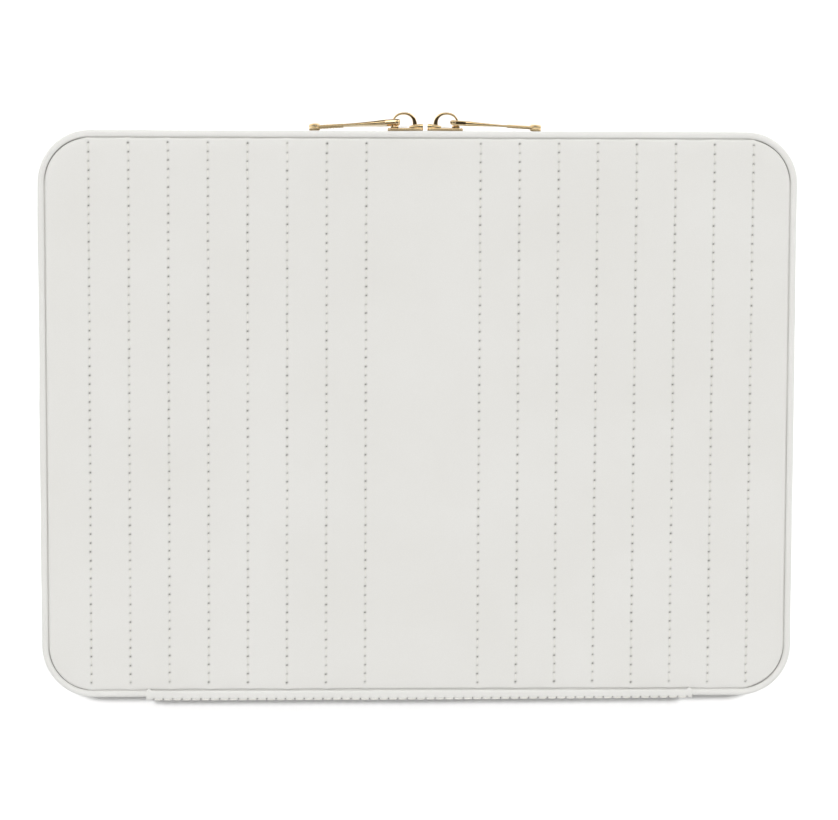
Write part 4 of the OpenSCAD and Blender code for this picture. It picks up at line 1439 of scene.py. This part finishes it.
# %% [markdown]
# ## Foam pads
# The ring rolls, end block and earring rails are foam wrapped in suede. Each starts as a slightly
# smaller form. It is remeshed, blown up by a short cloth simulation with its base held still, and
# kept from moving further than a set cap. The wrap then swells and puckers as a real one does.

# %% Blowing up a pad
def plump(name, points, faces, voxel, cap, held_below=None, pressure=4.0, seed=1):
    """The points and faces of a pad after its simulation. Sizes are in millimetres.

    The pads are so small that the pressure would hardly show, so each is simulated at ten times
    its size and scaled back.
    """
    big = 10 * MM
    mesh = bpy.data.meshes.new(name + "_start")
    mesh.from_pydata((np.asarray(points) * big).tolist(), [], [tuple(face) for face in faces])
    pad = link(bpy.data.objects.new(name + "_start", mesh))
    bpy.context.view_layer.objects.active = pad
    pad.select_set(True)
    remesh = pad.modifiers.new("remesh", "REMESH")
    remesh.mode = "VOXEL"
    remesh.voxel_size = voxel * big
    bpy.ops.object.modifier_apply(modifier="remesh")
    start = np.array([vertex.co for vertex in pad.data.vertices])
    source = np.random.default_rng(seed)
    nudge = source.normal(0, 0.02 * big, start.shape)
    pad.data.vertices.foreach_set("co", (start + nudge).ravel())
    cloth = pad.modifiers.new("cloth", "CLOTH")
    cloth.settings.quality = 5
    cloth.settings.mass = 0.15
    cloth.settings.tension_stiffness = 25
    cloth.settings.compression_stiffness = 25
    cloth.settings.bending_stiffness = 0.4
    cloth.settings.use_pressure = True
    cloth.settings.uniform_pressure_force = pressure
    cloth.settings.effector_weights.gravity = 0
    cloth.collision_settings.use_collision = False
    if held_below is not None:
        group = pad.vertex_groups.new(name="held")
        held = np.nonzero(start[:, 2] < held_below * big)[0].tolist()
        group.add(held, 1.0, "REPLACE")
        cloth.settings.vertex_group_mass = "held"
    cloth.point_cache.frame_start, cloth.point_cache.frame_end = 1, 20
    for frame_number in range(1, 21):
        bpy.context.scene.frame_set(frame_number)
    shown = pad.evaluated_get(bpy.context.evaluated_depsgraph_get())
    moved = np.array([vertex.co for vertex in shown.data.vertices]) - start
    reach = np.linalg.norm(moved, axis=1)
    start = start + moved * np.minimum(1, cap * big / np.maximum(reach, 1e-9))[:, None]
    pad.modifiers.remove(cloth)
    bpy.context.scene.frame_set(1)
    swelled = round(min(reach.max() / big, cap), 2)
    print(name, "swelled by up to", swelled, "mm over", len(start), "points")
    pad.data.vertices.foreach_set("co", start.ravel())
    finer = pad.modifiers.new("finer", "SUBSURF")
    finer.levels = 1
    bpy.ops.object.modifier_apply(modifier="finer")
    made = np.array([vertex.co for vertex in pad.data.vertices]) / big
    made_faces = [tuple(face.vertices) for face in pad.data.polygons]
    bpy.data.objects.remove(pad)
    return made, made_faces


# %% [markdown]
# The five ring rolls are cut alike, so one simulated roll serves for all of them. Every second one
# is turned end for end. Rings slip down between them and are gripped by the foam.

# %% Ring rolls
roll_low, roll_high = as_mm("ring_roll_1")
roll_long, roll_r = roll_high[0] - roll_low[0], (roll_high[1] - roll_low[1]) / 2
ROLL_SIDES, ROLL_Z = 44, 12.9
roll_turn = np.arange(ROLL_SIDES) * 2 * math.pi / ROLL_SIDES
roll_at = np.array([0.0, 0.25, 0.7, 1.5, 2.6] + list(np.arange(4.5, roll_long - 4, 3.0))
                   + [roll_long - 2.6, roll_long - 1.5, roll_long - 0.7, roll_long - 0.25, roll_long])
from_end = np.minimum(roll_at, roll_long - roll_at)
roll_size = (roll_r - 0.55) * (1 - 0.42 * np.exp(-from_end / 0.9))
template = np.zeros((len(roll_at), ROLL_SIDES, 3))
template[..., 0] = np.clip(roll_at, 0.5, roll_long - 0.5)[:, None] + roll_low[0]
template[..., 1] = roll_size[:, None] * np.cos(roll_turn)[None]
template[..., 2] = np.maximum(roll_size[:, None] * np.sin(roll_turn)[None] + ROLL_Z, FLOOR + 0.25)
template_faces = tube_faces(len(roll_at), ROLL_SIDES)
roll_points, roll_faces = plump("ring_roll", template.reshape(-1, 3), template_faces,
                                1.5, 0.5, FLOOR + 0.8, seed=3)
gathers = np.arctan2(roll_points[:, 2] - ROLL_Z, roll_points[:, 1])
end_gap = np.minimum(roll_points[:, 0] - roll_low[0], roll_high[0] - roll_points[:, 0])
pucker = 0.22 * np.sin(gathers * 17 + 0.6 * np.sin(3 * gathers)) * np.exp(-end_gap / 2.2)
outward_yz = roll_points[:, 1:] - np.array([0, ROLL_Z])
outward_yz /= np.linalg.norm(outward_yz, axis=1)[:, None] + 1e-9
pucker = pucker + 0.10 * smooth_noise(roll_points[:, 0] + 9 * gathers, 11, 7)
roll_points[:, 1:] += outward_yz * pucker[:, None]
roll_points[:, 2] = np.maximum(roll_points[:, 2], FLOOR + 0.03)
roll_points[:, 0] = np.clip(roll_points[:, 0], roll_low[0] + 0.05, roll_high[0] - 0.05)
for number in range(1, 6):
    node = f"ring_roll_{number}"
    low, high = as_mm(node)
    placed = roll_points.copy()
    if number % 2 == 0:
        placed[:, 0] = low[0] + high[0] - placed[:, 0]
    placed[:, 1] += (low[1] + high[1]) / 2
    roll = make_piece(node + "_foam", placed, roll_faces, PADDING, "base", [node])

# %% [markdown]
# The block that closes the ring bay is a small pad, blown up in the same way as the rolls.

# %% End block of the ring bay
block_low, block_high = as_mm("ring_end_block")


def rounded_box(low, high, corner):
    """A box with rounded plan corners, as rings from bottom to top."""
    low, high = np.asarray(low, float), np.asarray(high, float)
    middle = (low + high) / 2
    half = (high - low) / 2
    sides = 64
    turn = np.arange(sides) * 2 * math.pi / sides
    power = 2 / 7.0
    u = np.sign(np.cos(turn)) * np.abs(np.cos(turn)) ** power
    v = np.sign(np.sin(turn)) * np.abs(np.sin(turn)) ** power
    rings = []
    for height, inset in ((low[2], 0.9), (low[2] + 0.5, 0.2), (middle[2], 0.0), (high[2] - corner, 0.05),
                          (high[2] - 0.4 * corner, 0.3 * corner), (high[2], corner)):
        across, deep = middle[0] + (half[0] - inset) * u, middle[1] + (half[1] - inset) * v
        ring = np.stack([across, deep, np.full(sides, height)], -1)
        rings.append(ring)
    return np.concatenate(rings), tube_faces(len(rings), sides)


block_points, block_faces = rounded_box(block_low + [0.6, 3.2, 0.1], block_high - [0.5, 0.6, 0.6], 1.6)
block_points, block_faces = plump("end_block", block_points, block_faces, 1.5, 0.55, FLOOR + 0.8, seed=5)
block_points = np.clip(block_points, block_low + 0.04, block_high - 0.04)
end_block = make_piece("ring_end_block_foam", block_points, block_faces, PADDING, "base",
                       ["ring_end_block"])

# %% [markdown]
# ## Lid fittings
# The lid's left half holds a flat pad with four raised rails for earrings, and its right half a
# bar with necklace hooks and a pocket that catches the chains' ends. All are given here as on the
# lid's lining, hanging down from it.

# %% Flat pads
def flat_pad(name, node, seed):
    """A thin foam pad with rounded corners and a sewn line just inside its edge."""
    low, high = as_mm(node)
    half_x, half_y, corner = (high[0] - low[0]) / 2, (high[1] - low[1]) / 2, 4.0
    middle = (low + high) / 2
    thick = high[2] - low[2]
    turn = np.arange(0, 90, 7.5)
    outline = []
    for cx, cy, start in ((1, 1, 0), (-1, 1, 90), (-1, -1, 180), (1, -1, 270)):
        for a in np.radians(start + turn):
            outline.append(((half_x - corner) * cx + corner * math.cos(a),
                            (half_y - corner) * cy + corner * math.sin(a)))
    outline = np.array(outline)
    dense = []
    for i in range(len(outline)):
        a, b = outline[i], outline[(i + 1) % len(outline)]
        pieces = max(1, int(np.linalg.norm(b - a) / 2.5))
        dense += [a + (b - a) * k / pieces for k in range(pieces)]
    dense = np.array(dense)
    normal = np.roll(dense, -1, 0) - np.roll(dense, 1, 0)
    normal = np.stack([normal[:, 1], -normal[:, 0]], -1) / np.linalg.norm(normal, axis=1)[:, None]
    rings = [(0.4, 0.0), (0.0, 0.25 * thick), (0.0, 0.55 * thick), (0.35, 0.85 * thick), (0.9, 0.94 * thick),
             (1.6, 0.93 * thick), (2.0, 0.80 * thick), (2.4, 0.93 * thick), (3.4, thick)]
    layers = []
    along = np.arange(len(dense)) * 2.5
    for inset, rise in rings:
        flat = dense - (inset + 0.05 * smooth_noise(along, 12, seed)[:, None]) * normal
        layers.append(np.concatenate([flat, np.full((len(flat), 1), rise)], 1))
    points = np.concatenate(layers)
    faces = tube_faces(len(layers), len(dense))
    placed = np.stack([middle[0] + points[:, 0], middle[1] + points[:, 1], high[2] - points[:, 2]], -1)
    pad = make_piece(name, placed, faces, PADDING, "lid", [node])
    seam_line = dense - 2.0 * normal
    seam_line = seam_line[:: max(1, int(round(3.0 / 2.5)))]
    holes = np.concatenate([seam_line + middle[:2], np.full((len(seam_line), 1), high[2] - 0.80 * thick)], 1)
    holes = np.concatenate([holes, holes[:1]])
    thread_points, thread_faces = stitches(holes, np.tile([0, 0, -1.0], (len(holes), 1)), 0.15, 0.12)
    make_piece(name + "_thread", thread_points, thread_faces, SUEDE_THREAD, "lid")


flat_pad("earring_foam", "earring_pad", 101)
flat_pad("necklace_bar_pad", "necklace_bar", 103)

# %% [markdown]
# An earring rail is a soft half-round of foam with a row of small eyelets for the posts.

# %% Earring rails
rail_low, rail_high = as_mm("earring_rail_1")
rail_size = rail_high - rail_low
rail_at = np.array([0, 0.3, 0.9, 1.8, 3.0] + list(np.arange(5.0, rail_size[0] - 4, 2.0))
                   + [rail_size[0] - back for back in (3, 1.8, 0.9, 0.3, 0)])
rail_turn = np.radians(np.linspace(0, 180, 19))
rail_template = np.zeros((len(rail_at), len(rail_turn), 3))
rail_near = np.minimum(rail_at, rail_size[0] - rail_at)
rail_shrink = 1 - 0.5 * np.exp(-rail_near / 0.8)
rail_template[..., 0] = np.clip(rail_at, 0.4, rail_size[0] - 0.4)[:, None]
rail_across = np.cos(rail_turn)
rail_template[..., 1] = (rail_size[1] / 2 - 0.45) * np.sign(rail_across) * np.abs(rail_across) ** 0.7
rail_template[..., 1] *= rail_shrink[:, None]
rail_template[..., 2] = (rail_size[2] - 0.5) * np.abs(np.sin(rail_turn)) ** 0.6 * rail_shrink[:, None]
rail_faces = tube_faces(len(rail_at), len(rail_turn))
rail_points, rail_faces = plump("earring_rail", rail_template.reshape(-1, 3), rail_faces,
                                1.2, 0.4, 0.7, seed=8)
rail_points[:, 2] = np.clip(rail_points[:, 2], 0.0, rail_size[2] - 0.02)
eyelet_x = np.arange(7.5, rail_size[0] - 5, 10.5)
for number in range(1, 5):
    node = f"earring_rail_{number}"
    low, high = as_mm(node)
    placed = rail_points.copy()
    placed[:, 2] += 0.08 * smooth_noise(placed[:, 0] + 3 * placed[:, 1], 9, 110 + number)
    if number % 2 == 0:
        placed[:, 0] = rail_size[0] - placed[:, 0]
    placed = np.stack([low[0] + placed[:, 0], (low[1] + high[1]) / 2 + placed[:, 1],
                       high[2] - placed[:, 2]], -1)
    rail = make_piece(node + "_foam", placed, rail_faces, PADDING, "lid", [node])
    rings = []
    for x in eyelet_x:
        ring = [(-0.25, 0.55), (-0.25, 0.95), (-0.02, 1.15), (0.14, 1.0),
                (0.18, 0.8), (0.10, 0.6), (-0.1, 0.5)]
        rings.append(spun(ring, (low[0] + x, (low[1] + high[1]) / 2, low[2] + 0.10), (0, 0, -1), 20))
    points, faces = joined(*rings)
    make_piece(node + "_eyelets", points, faces, GOLD, "lid", sharp=60)

# %% [markdown]
# The six necklace hooks are bent and polished wire in the frame's own shape.

# %% Necklace hooks
for number in range(1, 7):
    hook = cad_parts[f"necklace_hook_{number}"]
    hook.data.materials.clear()
    hook.data.materials.append(GOLD)

# %% [markdown]
# The pocket is a single layer of suede, sewn down on three sides and gathered onto an elastic at
# its mouth. Its fullness hangs in soft folds that run back from the elastic and die away.

# %% Pocket
pocket_low, pocket_high = as_mm("necklace_pocket")
pocket_x = np.linspace(pocket_low[0], pocket_high[0], 240)
pocket_y = pocket_low[1] + (pocket_high[1] - pocket_low[1]) * np.linspace(0, 1, 56) ** 1.15
across_pocket = (pocket_x - pocket_x.mean()) / (pocket_x[-1] - pocket_x[0]) * 2
deep_pocket = (pocket_y - pocket_y[0]) / (pocket_y[-1] - pocket_y[0])
room = pocket_high[2] - pocket_low[2]
dome = (1 - np.abs(across_pocket[:, None]) ** 5) ** 0.6 * (1 - deep_pocket[None] ** 3.5) ** 0.8
fold_phase = 2 * math.pi * pocket_x / 3.9 + smooth_noise(pocket_x, 13, 120, 1.6)
folds = 0.42 * np.sin(fold_phase)[:, None] * np.exp(-deep_pocket[None] / 0.10)
long_phase = 2 * math.pi * pocket_x / 11.5 + smooth_noise(pocket_x, 19, 121, 2.2)
fading = np.exp(-deep_pocket[None] / 0.45) * (1 - np.exp(-deep_pocket[None] / 0.08))
folds = folds + 0.50 * np.sin(long_phase)[:, None] * fading
rise = 0.95 + (room - 1.95) * dome + folds * np.clip(dome * 3, 0, 1)
cloth_top = np.stack([np.broadcast_to(pocket_x[:, None], rise.shape),
                      np.broadcast_to(pocket_y[None], rise.shape),
                      pocket_high[2] - rise], -1)
cloth_under = cloth_top.copy()
cloth_under[..., 2] += 0.8
loop = border(rise.shape)
size = len(loop)
pocket_faces = grid_faces(*rise.shape) + grid_faces(*rise.shape, start=rise.size)
pocket_faces += [(int(loop[i]), int(loop[(i + 1) % size]),
                  rise.size + int(loop[(i + 1) % size]), rise.size + int(loop[i]))
                 for i in range(size)]
pocket_points = np.concatenate([cloth_top.reshape(-1, 3), cloth_under.reshape(-1, 3)])
pocket = make_piece("pocket_cloth", pocket_points, pocket_faces, POCKET, "lid",
                    ["necklace_pocket"])

# %% [markdown]
# The mouth of the pocket is gathered onto a round elastic. Its cloth cover is ruched, so it
# swells and narrows along its length.

# %% Elastic hem
hem_low, hem_high = as_mm("pocket_elastic")
hem_x = np.linspace(hem_low[0] + 0.1, hem_high[0] - 0.1, 420)
ruche = 1 + 0.13 * np.sin(2 * math.pi * hem_x / 2.1 + smooth_noise(hem_x, 9, 130, 1.2))
hem_y = np.full(len(hem_x), (hem_low[1] + hem_high[1]) / 2) + smooth_noise(hem_x, 4, 131, 0.05)
hem_z = np.full(len(hem_x), (hem_low[2] + hem_high[2]) / 2) + smooth_noise(hem_x, 5, 132, 0.06)
hem_end = np.clip(np.minimum(hem_x - hem_x[0], hem_x[-1] - hem_x) / 1.2, 0, 1)
hem_fit = np.sqrt(np.clip(1 - (1 - hem_end) ** 2, 0.05, 1)) * ruche
hem_wide, hem_tall = np.zeros((len(hem_x), 3)), np.zeros((len(hem_x), 3))
hem_wide[:, 1] = 0.78 * hem_fit
hem_tall[:, 2] = 1.02 * hem_fit
hem_points, hem_faces = loft(np.stack([hem_x, hem_y, hem_z], -1), hem_wide, hem_tall, 14, 2.4)
hem = make_piece("pocket_hem", hem_points, hem_faces, POCKET, "lid", ["pocket_elastic"])
print("lid fittings made")

# %% [markdown]
# The script's last step prints the frame's own box and the box of the visual model, which shows
# how far the model reaches past the frame.

# %% Sizes and finish
visual_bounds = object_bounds()
for label, (low, high) in (("cad", cad_bounds), ("visual", visual_bounds)):
    print(label, "box in mm:", [round(v / MM, 1) for v in low], [round(v / MM, 1) for v in high])
